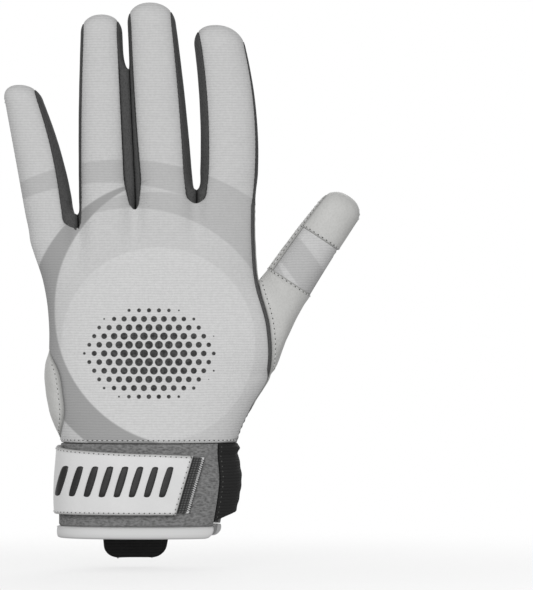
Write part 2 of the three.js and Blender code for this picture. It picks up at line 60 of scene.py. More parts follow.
mm = 0.001
degree = math.pi / 180
quarterTurn = math.pi / 2
fullTurn = 2 * math.pi
back, palm = -1, 1  # the two faces, as the sign of Y

jointPlace = {joint["name"]: np.array(joint["pos_m"]) / mm for joint in frame["joints"]}


def mix(a, b, share):
    return a + (b - a) * share


def smooth(share):
    # 0 to 1 with a level start and end: 3t^2 - 2t^3
    t = np.clip(share, 0, 1)
    return t * t * (3 - 2 * t)


def squared(value, squareness):
    # sine or cosine raised to 2/n, which makes an oval as square as asked
    return np.sign(value) * np.abs(value) ** (2 / squareness)


# Shape of the hand, which the cuff, the panels and the roots of the fingers share
hand = {
    "cuffTop": 41,
    "bindingTop": 5.2,
    "thumbLow": 70.5,
    "thumbHigh": 111.4,
    "thumbOpening": 8,
    "turnBack": 6,
    "pipingWidth": 1.3,
    "seamWidth": 0.25,
    "pipingLow": 68,
    "valleyShare": 0.35,
    "valleyWidth": 4.5,
    "valleyRise": 26,
    "heelLow": 43,
    "heelHigh": 82,
    "heelTurn": 30,
    "heelHeight": 2.4,
    "slitTop": 59,
    "slitTurn": 38,
    "height": [0, 24, 41, 56, 70.5, 91, 111.4, 129.5, 145.4, 160],
    "ulnar": [37.4, 37.2, 36.6, 39.6, 41.6, 41.8, 44.3, 50, 50, 50],
    "radial": [37.5, 41.6, 40.6, 46.6, 54.6, 54.8, 49.6, 48.2, 48.2, 48.2],
    "depth": [46, 44.5, 42, 39, 36.5, 33.5, 29.5, 25.5, 22.5, 20.5],
    "squareness": [2.3, 2.3, 2.4, 2.5, 2.6, 2.6, 2.8, 3.2, 3.4, 3.4],
}

# Shape of the fingers in their own plane: widths and depths at the root, middle and tip,
# and how far in degrees the side piece turns from the edge to the back and to the palm
fingerShape = {
    "little": {
        "lean": -15, "bow": 1.5, "width": (20.6, 20.8, 15), "depth": (19, 15), "gapBefore": 0,
        "ulnar": (0, 0, 0), "radial": (64, 18, 44),
    },
    "ring": {
        "lean": -1.4, "bow": -0.3, "width": (22, 20.6, 17.4), "depth": (20.5, 16), "gapBefore": 0.9,
        "ulnar": (25, 40, 30), "radial": (32, 18, 40),
    },
    "middle": {
        "lean": -7.5, "bow": 0, "width": (23.4, 23.4, 20), "depth": (21, 17), "gapBefore": 4.5,
        "ulnar": (27, 40, 30), "radial": (47, 18, 34),
    },
    "index": {
        "lean": -5, "bow": 3.1, "width": (25, 24.6, 21), "depth": (21, 17), "gapBefore": 1.8,
        "ulnar": (46, 40, 44), "radial": (28, 6, 16),
    },
}
fingerNames = list(fingerShape)
sideNames = {-1: "ulnar", 1: "radial"}
oval = {"finger": 2.2, "crownShare": 0.5, "overTip": 25, "rootBlend": 15, "crotchRise": 4.5}
thumbShape = {
    "x": 63, "height": 111.4, "lean": 1.4, "bow": -0.4, "leanTurn": 33.4, "tip": 44.6,
    "width": (21.4, 19.4, 17), "depth": (20, 16), "ulnar": (34, 26, 26), "radial": (0, 0, 0),
}
wall = {
    "knit": 1.2, "leather": 1.2, "stretch": 0.9, "band": 1.8, "strap": 1.6, "pull": 2, "hook": 0.9,
}


def levelValue(key, height):
    # cubic through the levels of the hand, with slopes taken from the neighbouring levels
    heights, values = np.array(hand["height"], float), np.array(hand[key], float)
    last = len(heights) - 1
    before, after = np.clip(np.arange(last + 1) - 1, 0, last), np.clip(np.arange(last + 1) + 1, 0, last)
    slopes = (values[after] - values[before]) / (heights[after] - heights[before])
    at = np.clip(height, heights[0], heights[-1])
    i = np.clip(np.searchsorted(heights, at, side="right") - 1, 0, last - 1)
    span = heights[i + 1] - heights[i]
    t = (at - heights[i]) / span
    lead = t * (1 - t) * span
    return mix(values[i], values[i + 1], smooth(t)) + lead * ((1 - t) * slopes[i] - t * slopes[i + 1])


def thumbSwell(height):
    # the section bulges in a softened parabola where the thumb grows out of it
    half = (hand["thumbHigh"] - hand["thumbLow"]) / 2
    t = (height - (hand["thumbHigh"] + hand["thumbLow"]) / 2) / half
    return hand["thumbOpening"] * np.maximum(0, 1 - t * t) ** 1.25


def handSection(height):
    radial = levelValue("radial", height) + thumbSwell(height)
    ulnar = levelValue("ulnar", height)
    depth = levelValue("depth", height)
    return (radial - ulnar) / 2, (radial + ulnar) / 2, depth / 2, levelValue("squareness", height)


fingers = {}
edge = -levelValue("ulnar", 145)
for name, shape in fingerShape.items():
    knuckle, joint = jointPlace[f"{name}_knuckle"], jointPlace[f"{name}_joint"]
    left = edge + shape["gapBefore"]
    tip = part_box(f"{name}_tip_knit")[1].z / mm
    fingers[name] = {
        **shape, "name": name, "left": left, "rootX": left + shape["width"][0] / 2,
        "knuckle": knuckle[2], "joint": joint[2], "tip": tip, "jointPlace": joint,
    }
    edge = left + shape["width"][0]
thumb = {**thumbShape, "name": "thumb", "knuckle": 0.0, "joint": 22.6, "rootX": 0.0}
crotches = [fingers[name]["left"] - fingers[name]["gapBefore"] / 2 for name in fingerNames[1:]]


def knuckleHeight(x):
    # straight lines between the roots of the fingers, the outer two carried on
    roots = np.array([fingers[name]["rootX"] for name in fingerNames])
    knuckles = np.array([fingers[name]["knuckle"] for name in fingerNames])
    i = np.clip(np.searchsorted(roots, x) - 1, 0, len(roots) - 2)
    return mix(knuckles[i], knuckles[i + 1], (x - roots[i]) / (roots[i + 1] - roots[i]))


def valleyShare(x, height):
    # Gaussian valleys between the knuckles, which deepen towards the webs
    line = knuckleHeight(x)
    rise = smooth((height - line + hand["valleyRise"]) / hand["valleyRise"])
    hollows = sum(np.exp(-(((x - crotch) / hand["valleyWidth"]) ** 2)) for crotch in crotches)
    return hand["valleyShare"] * rise * hollows


def handPoint(turn, height, raised=0.0):
    # squared oval at each height: turn 0 is the thumb side and a quarter turn the back
    turn, height, raised = np.broadcast_arrays(turn, height, raised)
    middle, halfWidth, halfDepth, squareness = handSection(height)
    x = middle + (halfWidth + raised) * squared(np.cos(turn), squareness)
    y = -(halfDepth + raised) * squared(np.sin(turn), squareness)
    return np.stack([x, y * (1 - valleyShare(x, height)), height], -1)


def handNormals(turn, height):
    # the normal of the hand's own surface, from small steps round and up
    step = 0.01
    around = handPoint(turn + step, height) - handPoint(turn - step, height)
    up = handPoint(turn, height + step * 10) - handPoint(turn, height - step * 10)
    normals = np.cross(up, around)
    return normals / np.linalg.norm(normals, axis=-1, keepdims=True)


def handTurn(x, height):
    # the turn at which the back of the hand reaches a place across it
    middle, halfWidth, _, squareness = handSection(height)
    share = np.clip((x - middle) / halfWidth, -1, 1)
    return np.arccos(np.sign(share) * np.abs(share) ** (squareness / 2))


def handAt(x, height, face):
    # point on one face of the hand over a place across it
    turn = handTurn(x, height)
    return handPoint(np.where(face < 0, turn, fullTurn - turn), height)


def pipeWidth(height):
    return mix(hand["seamWidth"], hand["pipingWidth"], smooth((height - hand["pipingLow"]) / 6))


def pipeStart(height):
    return handTurn(levelValue("radial", height) - 0.3, height)


def pipeEnd(height):
    return handTurn(levelValue("radial", height) - 0.3 - pipeWidth(height), height)


def palmEdge(height):
    # how far the palm leather stops short of the radial edge: it wraps round to the
    # piping, draws back to the palm along the thumb's opening, and again at the slit
    opening = smooth((height - hand["thumbLow"]) / hand["turnBack"])
    opening = opening * smooth((hand["thumbHigh"] - height) / hand["turnBack"])
    slit = np.clip((hand["slitTop"] - height) / (hand["slitTop"] - hand["cuffTop"]), 0, 1)
    wrapped = mix(-pipeStart(height), pipeStart(height), opening)
    return mix(wrapped, hand["slitTurn"] * degree, slit ** 0.9)


def ulnarSeam(height):
    # the heel of the palm pushes the seam on the ulnar side round to the back
    t = np.clip((height - hand["heelLow"]) / (hand["heelHigh"] - hand["heelLow"]), 0, 1)
    push = 1 - (1 - np.sin(math.pi * t)) ** 1.8
    return math.pi - hand["heelTurn"] * degree * push


def hill(p, q):
    # 1 in the middle of a square of half size 1, and 0 on its rim
    inside = (np.abs(p) < 1) & (np.abs(q) < 1)
    return np.where(inside, (1 - np.abs(p) ** 4) * (1 - np.abs(q) ** 4), 0)


def crownStart(finger):
    return finger["tip"] - finger["width"][2] * oval["crownShare"]


def fingerSection(finger, height):
    # the middle line leans and bows, and the width is a parabola through three sizes
    t = (height - finger["knuckle"]) / (finger["tip"] - finger["knuckle"])
    hump = 4 * t * (1 - t)
    root, middle, tip = finger["width"]
    x = finger["rootX"] + finger["lean"] * t + finger["bow"] * hump
    width = mix(root, tip, t) + (middle - (root + tip) / 2) * hump
    return x, width / 2, mix(*finger["depth"], t) / 2


def ribbonPoint(finger, face, turn, station):
    # squared oval over one face: past the start of the crown the station is an arc
    crown = finger["width"][2] * oval["crownShare"]
    base = np.minimum(station, crownStart(finger))
    roll = (station - base) / crown
    _, halfWidth, halfDepth = fingerSection(finger, base)
    out = squared(np.cos(turn), oval["finger"])
    y = face * halfDepth * out * squared(np.cos(roll), oval["finger"])
    z = base + crown * out * squared(np.sin(roll), oval["finger"])
    x = fingerSection(finger, z)[0] + halfWidth * squared(np.sin(turn), oval["finger"])
    return np.stack(np.broadcast_arrays(x, y, z), -1)


def sidePoint(finger, side, swing, station):
    # the side of a finger: swing goes from back to palm and climbs over the tip
    crown = finger["width"][2] * oval["crownShare"]
    base = np.minimum(station, crownStart(finger))
    climb = (station - base) / crown
    ring, heading = np.hypot(swing, climb), np.arctan2(climb, swing)
    _, halfWidth, halfDepth = fingerSection(finger, base)
    away = squared(np.sin(ring), oval["finger"])
    y = halfDepth * away * squared(np.cos(heading), oval["finger"])
    z = base + crown * away * squared(np.sin(heading), oval["finger"])
    x = fingerSection(finger, z)[0] + side * halfWidth * squared(np.cos(ring), oval["finger"])
    return np.stack(np.broadcast_arrays(x, y, z), -1)


def edgeTurnAt(finger, x):
    # the turn at which a finger's root reaches a place across it
    share = np.clip(np.abs(x - finger["rootX"]) * 2 / finger["width"][0], 0, 1)
    return np.arcsin(share ** (oval["finger"] / 2))


def footReach(finger, side, face):
    # at its root a cover spans from crotch to crotch, and to the piping on the thumb side
    if finger is thumb:
        return finger[sideNames[side]][0 if face < 0 else 1] * degree
    if side < 0 or finger["name"] != "index":
        return 0.0
    line = knuckleHeight(finger["rootX"] + finger["width"][0] / 2)
    edge = levelValue("radial", line) - 0.3
    if face < 0:
        return quarterTurn - edgeTurnAt(finger, edge - pipeWidth(line))
    return edgeTurnAt(finger, edge) - quarterTurn


def reachAt(finger, side, face, station, risen):
    # how far the side piece reaches round from the edge; risen is the way up from the root
    reach = finger[sideNames[side]]
    t = np.clip((station - finger["knuckle"]) / (crownStart(finger) - finger["knuckle"]), 0, 1)
    full = mix(reach[0 if face < 0 else 1], reach[2], t) * degree
    rise = np.clip(risen / oval["crotchRise"], 0, 1)
    foot = footReach(finger, side, face)
    opened = np.sqrt(1 - (1 - rise) ** 2)
    if foot:
        return mix(foot, full, opened)
    # between two fingers the edge opens in a quarter ellipse, so the bottom is round
    share = 1 - opened * (1 - squared(np.cos(full), oval["finger"]))
    return np.arccos(np.clip(share, 0, 1) ** (oval["finger"] / 2))


def gapBeside(finger, side):
    # the gap to the next finger on the side that is asked for
    after = fingerNames.index(finger["name"]) + 1
    nextGap = fingers[fingerNames[after]]["gapBefore"] if after < len(fingerNames) else 0.0
    return np.where(side < 0, finger["gapBefore"], nextGap)


def onHand(finger, place, share, station, faceSign):
    # the same place on the hand: the gap beside the finger is taken up towards its edges
    return handAt(place[..., 0] + share * gapBeside(finger, share) / 2, station, faceSign)


def coverPoint(finger, face, turn, station, foot):
    # the finger's oval, which grows out of the hand over the root
    place = ribbonPoint(finger, face, turn, station)
    if finger is thumb:
        return place
    share = squared(np.sin(turn), oval["finger"])
    faceSign = face * np.sign(np.cos(turn) + 1e-9)
    rooted = onHand(finger, place, share, station, faceSign)
    grown = smooth((station - foot) / oval["rootBlend"])[..., None]
    return mix(rooted, place, grown)


def plainTurn(face, turn, x, height):
    # the hand's own turn under a column of a cover
    across = handTurn(x, height)
    return across if face < 0 else fullTurn + np.where(np.cos(turn) < 0, across, -across)


def coverNormals(finger, face, turn, station, foot):
    # the normal of a cover, from small steps round and up; edges take it from a little inside,
    # and at the knuckle line it is the hand's own
    step = 0.01
    inside = np.clip(turn, -quarterTurn + 3 * step, quarterTurn - 3 * step)
    around = coverPoint(finger, face, inside + step, station, foot)
    around -= coverPoint(finger, face, inside - step, station, foot)
    up = coverPoint(finger, face, inside, station + step * 10, foot)
    up -= coverPoint(finger, face, inside, station - step * 10, foot)
    normals = np.cross(around, up) * (-face)
    normals /= np.maximum(np.linalg.norm(normals, axis=-1, keepdims=True), 1e-9)
    if finger is not thumb:
        x = coverPoint(finger, face, turn[:1], foot, foot)[..., 0]
        rooted = handNormals(plainTurn(face, turn[:1], x, foot), foot)
        normals = mix(rooted, normals, smooth((station - foot) / 3)[..., None])
        normals /= np.maximum(np.linalg.norm(normals, axis=-1, keepdims=True), 1e-9)
    return normals


def thumbPlaced(points):
    # the thumb's own frame leans outwards about Y
    turn = thumb["leanTurn"] * degree
    x, y, z = points[..., 0], points[..., 1], points[..., 2]
    return np.stack([
        x * math.cos(turn) + z * math.sin(turn) + thumb["x"], y,
        z * math.cos(turn) - x * math.sin(turn) + thumb["height"],
    ], -1)


# Grids and shells
roll = {"radius": 0.75, "steps": 4}


def rolledShares(count, size, startRolled=True, endRolled=True, power=1.0):
    # even steps from 0 to 1 with a few fine ones where an edge is rolled over
    fine = roll["radius"] / size
    turn = np.linspace(0, quarterTurn, roll["steps"] + 1)[:-1]
    bend = fine * (1 - np.cos(turn))
    low = fine if startRolled else 0
    high = fine if endRolled else 0
    even = low + (1 - low - high) * np.linspace(0, 1, count) ** power
    parts = [bend] if startRolled else []
    parts.append(even)
    if endRolled:
        parts.append(1 - bend[::-1])
    return np.concatenate(parts)


def gridNormals(points, core, ring=False):
    # cross product of the steps across and along, turned away from the core
    if ring:
        across = np.roll(points, -1, 1) - np.roll(points, 1, 1)
    else:
        across = np.gradient(points, axis=1)
    along = np.gradient(points, axis=0)
    normals = np.cross(across, along)
    normals /= np.maximum(np.linalg.norm(normals, axis=-1, keepdims=True), 1e-9)
    away = points - core
    return normals * (1 if np.sum(normals * away) > 0 else -1)


def edgeDistances(points):
    # arc lengths from the four edges of a grid: left, right, bottom, top
    across = np.cumsum(np.linalg.norm(np.diff(points, axis=1), axis=2), 1)
    across = np.pad(across, ((0, 0), (1, 0)))
    along = np.cumsum(np.linalg.norm(np.diff(points, axis=0), axis=2), 0)
    along = np.pad(along, ((1, 0), (0, 0)))
    return across, across[:, -1:] - across, along, along[-1:] - along


def rolledDrop(distance, radius):
    # quarter circle: the edge drops by the radius and levels off after as much again
    t = np.clip(1 - distance / radius, 0, 1)
    return radius * (1 - np.sqrt(1 - t * t))


def shellOf(outer, inner, look=0, rest=None, cloth=None, seam=None, ring=False):
    # an outer and an inner grid closed by their rims, four corners to a face
    rows, columns = outer.shape[:2]
    count = rows * columns
    index = np.arange(count).reshape(rows, columns)
    if ring:
        index = np.concatenate([index, index[:, :1]], 1)
    a, b, c, d = index[:-1, :-1], index[:-1, 1:], index[1:, 1:], index[1:, :-1]
    faces = [np.stack([a, b, c, d], -1).reshape(-1, 4), np.stack([a, d, c, b], -1).reshape(-1, 4) + count]
    lines = [index[0], index[-1][::-1]]
    if not ring:
        lines += [index[::-1, 0], index[:, -1]]
    for line in lines:
        p, q = line[:-1], line[1:]
        faces.append(np.stack([q, p, p + count, q + count], -1))
    points = np.concatenate([outer.reshape(-1, 3), inner.reshape(-1, 3)])
    rest = outer if rest is None else rest
    cloth = rest if cloth is None else cloth
    seam = np.zeros(outer.shape[:2]) if seam is None else seam
    sharp = np.concatenate([np.concatenate([line, line + count]) for line in lines])
    return {
        "points": points, "faces": np.concatenate(faces), "look": look,
        "rest": np.tile(rest.reshape(-1, 3), (2, 1)), "cloth": np.tile(cloth.reshape(-1, 3), (2, 1)),
        "seam": np.tile(seam.ravel(), 2), "sharp": sharp,
    }


def facingOut(points, faces):
    # the signed volume of a closed shell is positive when its faces point out
    a, b, c, d = (points[faces[:, k]] for k in range(4))
    volume = np.sum(a * np.cross(b, c)) + np.sum(a * np.cross(c, d))
    return faces if volume > 0 else faces[:, ::-1]


def writeMesh(name, shells, looks):
    offset, points, faces, look, sharp = 0, [], [], [], []
    for shell in shells:
        points.append(shell["points"])
        faces.append(facingOut(shell["points"], shell["faces"]) + offset)
        look.append(np.full(len(shell["faces"]), shell["look"]))
        sharp.append(shell["sharp"] + offset)
        offset += len(shell["points"])
    points, faces = np.concatenate(points), np.concatenate(faces)
    mesh = bpy.data.meshes.new(name)
    mesh.vertices.add(len(points))
    mesh.vertices.foreach_set("co", (points * mm).ravel())
    mesh.loops.add(faces.size)
    mesh.loops.foreach_set("vertex_index", faces.ravel())
    mesh.polygons.add(len(faces))
    mesh.polygons.foreach_set("loop_start", np.arange(0, faces.size, 4))
    mesh.polygons.foreach_set("material_index", np.concatenate(look))
    mesh.polygons.foreach_set("use_smooth", np.ones(len(faces), bool))
    mesh.update(calc_edges=True)
    mesh.validate()
    for key in ("rest", "cloth"):
        values = np.concatenate([shell[key] for shell in shells])
        layer = mesh.attributes.new(key, "FLOAT_VECTOR", "POINT")
        layer.data.foreach_set("vector", values.astype(np.float32).ravel())
    values = np.concatenate([shell["seam"] for shell in shells])
    layer = mesh.attributes.new("seam", "FLOAT", "POINT")
    layer.data.foreach_set("value", values.astype(np.float32))
    ends = np.empty(len(mesh.edges) * 2, np.int32)
    mesh.edges.foreach_get("vertices", ends)
    onRim = np.zeros(len(points), bool)
    onRim[np.concatenate(sharp)] = True
    hard = onRim[ends.reshape(-1, 2)].all(1)
    layer = mesh.attributes.new("sharp_edge", "BOOLEAN", "EDGE")
    layer.data.foreach_set("value", hard)
    for material in looks:
        mesh.materials.append(material)
    piece = bpy.data.objects.new(name, mesh)
    bpy.context.scene.collection.objects.link(piece)
    return piece


def axisOf(grid):
    # the points of the Z axis level with those of a grid
    return grid * np.array([0, 0, 1])


def panelOf(
    base, core, thickness, raised=0.0, look=0, rolled=(1, 1, 1, 1), ring=False, depth=None, near=None,
    skin=None, normals=None,
):
    # a sheet of cloth on a surface: its edges roll in, and it is raised where it is padded
    normals = gridNormals(base, core, ring) if normals is None else normals
    distances = edgeDistances(base)
    depth = roll["radius"] if depth is None else depth
    drop = np.zeros(base.shape[:2])
    edge = np.full(base.shape[:2], 99.0)
    for share, distance in zip(rolled, distances):
        drop = np.maximum(drop, share * rolledDrop(distance, depth))
        edge = np.minimum(edge, np.where(np.asarray(share) > 0.5, distance, 99.0))
    outer = base + normals * (raised - drop)[..., None]
    inner = base - normals * np.maximum(thickness, drop + 0.2)[..., None]
    cloth = np.stack([distances[0], distances[2], distances[0] * 0 if skin is None else skin], -1)
    # how near a rolled edge or stitched groove is, which the materials use to paint shade there
    seam = np.maximum(np.exp(-edge / 1.2), 0 if near is None else near)
    return shellOf(outer, inner, look, base, cloth, seam, ring), outer, normals


# Stitches
stitch = {"pitch": 2.2, "lengthShare": 0.6, "radius": 0.17, "hole": 0.29}


def alongLine(line, values, at):
    # a value carried along a polyline, read at given arc lengths
    steps = np.linalg.norm(np.diff(line, axis=0), axis=1)
    arc = np.concatenate([[0], np.cumsum(steps)])
    return np.stack([np.interp(at, arc, values[:, k]) for k in range(3)], -1), arc[-1]


def lineLength(line):
    return np.sum(np.linalg.norm(np.diff(line, axis=0), axis=1))


def rodsOn(line, normals, look, pitch, length, radius, lift=0.1):
    # closed rods laid end to end along a line: rings of six points that dip at both ends
    total = lineLength(line)
    count = max(1, int(total / pitch))
    middle = (np.arange(count) + 0.5) * total / count
    centre, _ = alongLine(line, line, middle)
    ahead, _ = alongLine(line, line, np.minimum(middle + length / 2, total))
    behind, _ = alongLine(line, line, np.maximum(middle - length / 2, 0))
    normal, _ = alongLine(line, normals, middle)
    normal /= np.linalg.norm(normal, axis=1, keepdims=True)
    along = ahead - behind
    along /= np.maximum(np.linalg.norm(along, axis=1, keepdims=True), 1e-9)
    side = np.cross(along, normal)
    station = np.array([-1, -0.86, -0.4, 0.4, 0.86, 1])
    girth = np.array([0.25, 0.8, 1, 1, 0.8, 0.25]) * radius
    height = lift + radius * 0.9 * (1 - 2.2 * np.abs(station) ** 3)
    around = np.arange(6) * fullTurn / 6
    points = (
        centre[:, None, None]
        + along[:, None, None] * (station * length / 2)[None, :, None, None]
        + side[:, None, None] * (girth[:, None] * np.cos(around))[None, :, :, None]
        + normal[:, None, None] * (height[:, None] + girth[:, None] * np.sin(around))[None, :, :, None]
    )
    ring = np.arange(6)
    ringNext = (ring + 1) % 6
    faces = [
        np.stack([k * 6 + ring, k * 6 + ringNext, k * 6 + 6 + ringNext, k * 6 + 6 + ring], -1)
        for k in range(5)
    ]
    faces.append(np.array([[3, 2, 1, 0], [5, 4, 3, 0], [30, 31, 32, 33], [30, 33, 34, 35]]))
    faces = np.concatenate(faces)
    shift = np.arange(count)[:, None, None] * 36
    flat = points.reshape(-1, 3)
    return {
        "points": flat, "faces": (faces[None] + shift).reshape(-1, 4), "look": look,
        "rest": flat, "cloth": flat, "seam": np.zeros(len(flat)), "sharp": np.zeros(0, int),
    }


def holesOn(line, normals, look, pitch, radius):
    # small dimples where the thread goes down, flat closed lenses of six sides, dark with painted shadow
    total = lineLength(line)
    count = max(1, int(total / pitch))
    at = np.arange(count + 1) * total / count
    centre, _ = alongLine(line, line, at)
    normal, _ = alongLine(line, normals, at)
    normal /= np.linalg.norm(normal, axis=1, keepdims=True)
    ahead, _ = alongLine(line, line, np.minimum(at + 0.3, total))
    behind, _ = alongLine(line, line, np.maximum(at - 0.3, 0))
    along = ahead - behind
    along /= np.maximum(np.linalg.norm(along, axis=1, keepdims=True), 1e-9)
    side = np.cross(along, normal)
    around = np.arange(6) * fullTurn / 6
    rings = [(0.55, 0.09), (1, 0.0), (0.55, -0.3)]
    points = np.stack([
        centre[:, None] + (along[:, None] * (1.35 * np.cos(around))[None, :, None]
        + side[:, None] * np.sin(around)[None, :, None]) * radius * size + normal[:, None] * level
        for size, level in rings
    ], 1)
    ring = np.arange(6)
    ringNext = (ring + 1) % 6
    faces = [
        np.stack([k * 6 + ring, k * 6 + ringNext, k * 6 + 6 + ringNext, k * 6 + 6 + ring], -1)
        for k in range(2)
    ]
    faces.append(np.array([[3, 2, 1, 0], [5, 4, 3, 0], [12, 13, 14, 15], [12, 15, 16, 17]]))
    faces = np.concatenate(faces)
    shift = np.arange(len(at))[:, None, None] * 18
    flat = points.reshape(-1, 3)
    return {
        "points": flat, "faces": (faces[None] + shift).reshape(-1, 4), "look": look,
        "rest": flat, "cloth": flat, "seam": np.zeros(len(flat)), "sharp": np.zeros(0, int),
    }


# Materials. Patterns are laid out in millimetres from three attributes: rest is the
# place in the glove, cloth the way across and along a panel, seam how near a seam is.
# The seam attribute sets where the materials paint shade along seams, rolled edges and stitched grooves.
def linear(hexCode):
    # sRGB hex to the linear colour that the shader wants
    channels = [int(hexCode[k:k + 2], 16) / 255 for k in (1, 3, 5)]
    return [c / 12.92 if c <= 0.04045 else ((c + 0.055) / 1.055) ** 2.4 for c in channels] + [1]


def addNode(tree, kind, inputs=None, **settings):
    # one node with its settings, and its inputs given as values or as sockets to link
    node = tree.nodes.new(kind)
    for key, value in settings.items():
        setattr(node, key, value)
    for key, value in (inputs or {}).items():
        if isinstance(value, bpy.types.NodeSocket):
            tree.links.new(value, node.inputs[key])
        else:
            node.inputs[key].default_value = value
    return node


def sum2(tree, a, b):
    return addNode(tree, "ShaderNodeMath", {0: a, 1: b}, operation="ADD").outputs[0]


def times(tree, a, b):
    return addNode(tree, "ShaderNodeMath", {0: a, 1: b}, operation="MULTIPLY").outputs[0]


def calculate(tree, operation, a, b=0.0):
    return addNode(tree, "ShaderNodeMath", {0: a, 1: b}, operation=operation).outputs[0]


def ramp(tree, value, low, high, toLow=0.0, toHigh=1.0):
    # smooth step of a value from one range to another
    return addNode(tree, "ShaderNodeMapRange", {
        "Value": value, "From Min": low, "From Max": high, "To Min": toLow, "To Max": toHigh,
    }, interpolation_type="SMOOTHSTEP").outputs[0]


def colourMix(tree, share, first, second):
    first = linear(first) if isinstance(first, str) else first
    second = linear(second) if isinstance(second, str) else second
    return addNode(tree, "ShaderNodeMix", {0: share, 6: first, 7: second}, data_type="RGBA").outputs[2]


def attribute(tree, key):
    node = addNode(tree, "ShaderNodeAttribute", attribute_name=key)
    return node.outputs["Fac" if key == "seam" else "Vector"]


def axes(tree, vector):
    return addNode(tree, "ShaderNodeSeparateXYZ", {0: vector}).outputs


def noise(tree, vector, size, detail=2.0, squeeze=(1, 1, 1)):
    # soft noise whose blobs have about the given size in millimetres
    scaled = addNode(tree, "ShaderNodeVectorMath", {0: vector, 1: squeeze}, operation="MULTIPLY").outputs[0]
    return addNode(tree, "ShaderNodeTexNoise", {
        "Vector": scaled, "Scale": 1 / size, "Detail": detail,
    }).outputs[0]


def cells(tree, vector, size, feature="F1"):
    # cell pattern of the given cell size, as the distance from a cell's middle or edge
    return addNode(tree, "ShaderNodeTexVoronoi", {
        "Vector": vector, "Scale": 1 / size,
    }, feature=feature).outputs[0]


def ribs(tree, value, pitch):
    # rows of round ribs: the size of a sine, 0 in the grooves and 1 on the ribs
    turn = times(tree, value, math.pi / pitch)
    return calculate(tree, "ABSOLUTE", calculate(tree, "SINE", turn))


def startMaterial(name, hexCode, roughness, **fixed):
    material = bpy.data.materials.new(name)
    material.use_nodes = True
    tree = material.node_tree
    shader = tree.nodes["Principled BSDF"]
    shader.inputs["Base Color"].default_value = linear(hexCode)
    shader.inputs["Roughness"].default_value = roughness
    for key, value in fixed.items():
        shader.inputs[key].default_value = value
    material.diffuse_color = linear(hexCode)
    return material, tree, shader


def finishMaterial(tree, shader, colour=None, height=None):
    # heights are in millimetres
    if colour is not None:
        tree.links.new(colour, shader.inputs["Base Color"])
    if height is not None:
        bump = addNode(tree, "ShaderNodeBump", {"Strength": 1.0, "Distance": mm, "Height": height})
        tree.links.new(bump.outputs[0], shader.inputs["Normal"])


# groove and seam are painted shade: the colours laid in the grooves between the ribs and along the seams
knitStyle = {
    "colour": "#E0E0E0", "groove": "#6E6E6E", "seam": "#7C7C7C",
    "field": "#E9E9E9", "pale": "#CECECE", "mid": "#B0B0B0", "ink": "#2B2B2B", "rib": 1.15, "wale": 0.66,
    "paleArc": (((-10, 60), 104), ((-16, 55), 99)), "midArc": (((12, 93), 63), ((20, 99), 59)),
    "sideArc": (((4, 88), 62), ((-5, 80), 63)), "fieldArc": (6, 84, 42),
    "dotField": (2.8, 79.8), "dotReach": (29.5, 21), "dotPitch": 4.3, "dotSize": 1.75,
}


def disc(tree, x, z, centre, radius, soft=0.5):
    # 1 inside a circle and 0 outside it
    across = calculate(tree, "SUBTRACT", x, centre[0])
    up = calculate(tree, "SUBTRACT", z, centre[1])
    away = calculate(tree, "SQRT", sum2(tree, times(tree, across, across), times(tree, up, up)))
    return ramp(tree, away, radius - soft, radius + soft, 1.0, 0.0)


def crescent(tree, x, z, arc):
    # what is left of one circle outside another
    (centre, radius), (cutCentre, cutRadius) = arc
    cut = calculate(tree, "SUBTRACT", 1.0, disc(tree, x, z, cutCentre, cutRadius))
    return times(tree, disc(tree, x, z, centre, radius), cut)


def offMiddle(tree, steps, pitch):
    # how far a place lies from the middle of its step
    return times(tree, calculate(tree, "SUBTRACT", calculate(tree, "FRACT", steps), 0.5), pitch)


def halftone(tree, x, z, style):
    # staggered dots that shrink towards the rim of an ellipse
    pitch, rise = style["dotPitch"], style["dotPitch"] * math.sqrt(3) / 2
    row = calculate(tree, "FLOOR", times(tree, z, 1 / rise))
    shift = calculate(tree, "FLOORED_MODULO", row, 2.0)
    column = sum2(tree, times(tree, x, 1 / pitch), times(tree, shift, 0.5))
    u = offMiddle(tree, column, pitch)
    v = offMiddle(tree, times(tree, z, 1 / rise), rise)
    away = calculate(tree, "SQRT", sum2(tree, times(tree, u, u), times(tree, v, v)))
    spans = []
    for value, offset, centre, reach in ((x, u, *pairOf(style, 0)), (z, v, *pairOf(style, 1))):
        middle = calculate(tree, "SUBTRACT", calculate(tree, "SUBTRACT", value, offset), centre)
        span = times(tree, middle, 1 / reach)
        spans.append(times(tree, span, span))
    left = calculate(tree, "MAXIMUM", calculate(tree, "SUBTRACT", 1.0, sum2(tree, *spans)), 0.0)
    size = times(tree, calculate(tree, "POWER", left, 0.4), style["dotSize"])
    return ramp(tree, calculate(tree, "SUBTRACT", away, size), -0.15, 0.15, 1.0, 0.0)


def pairOf(style, axis):
    return style["dotField"][axis], style["dotReach"][axis]


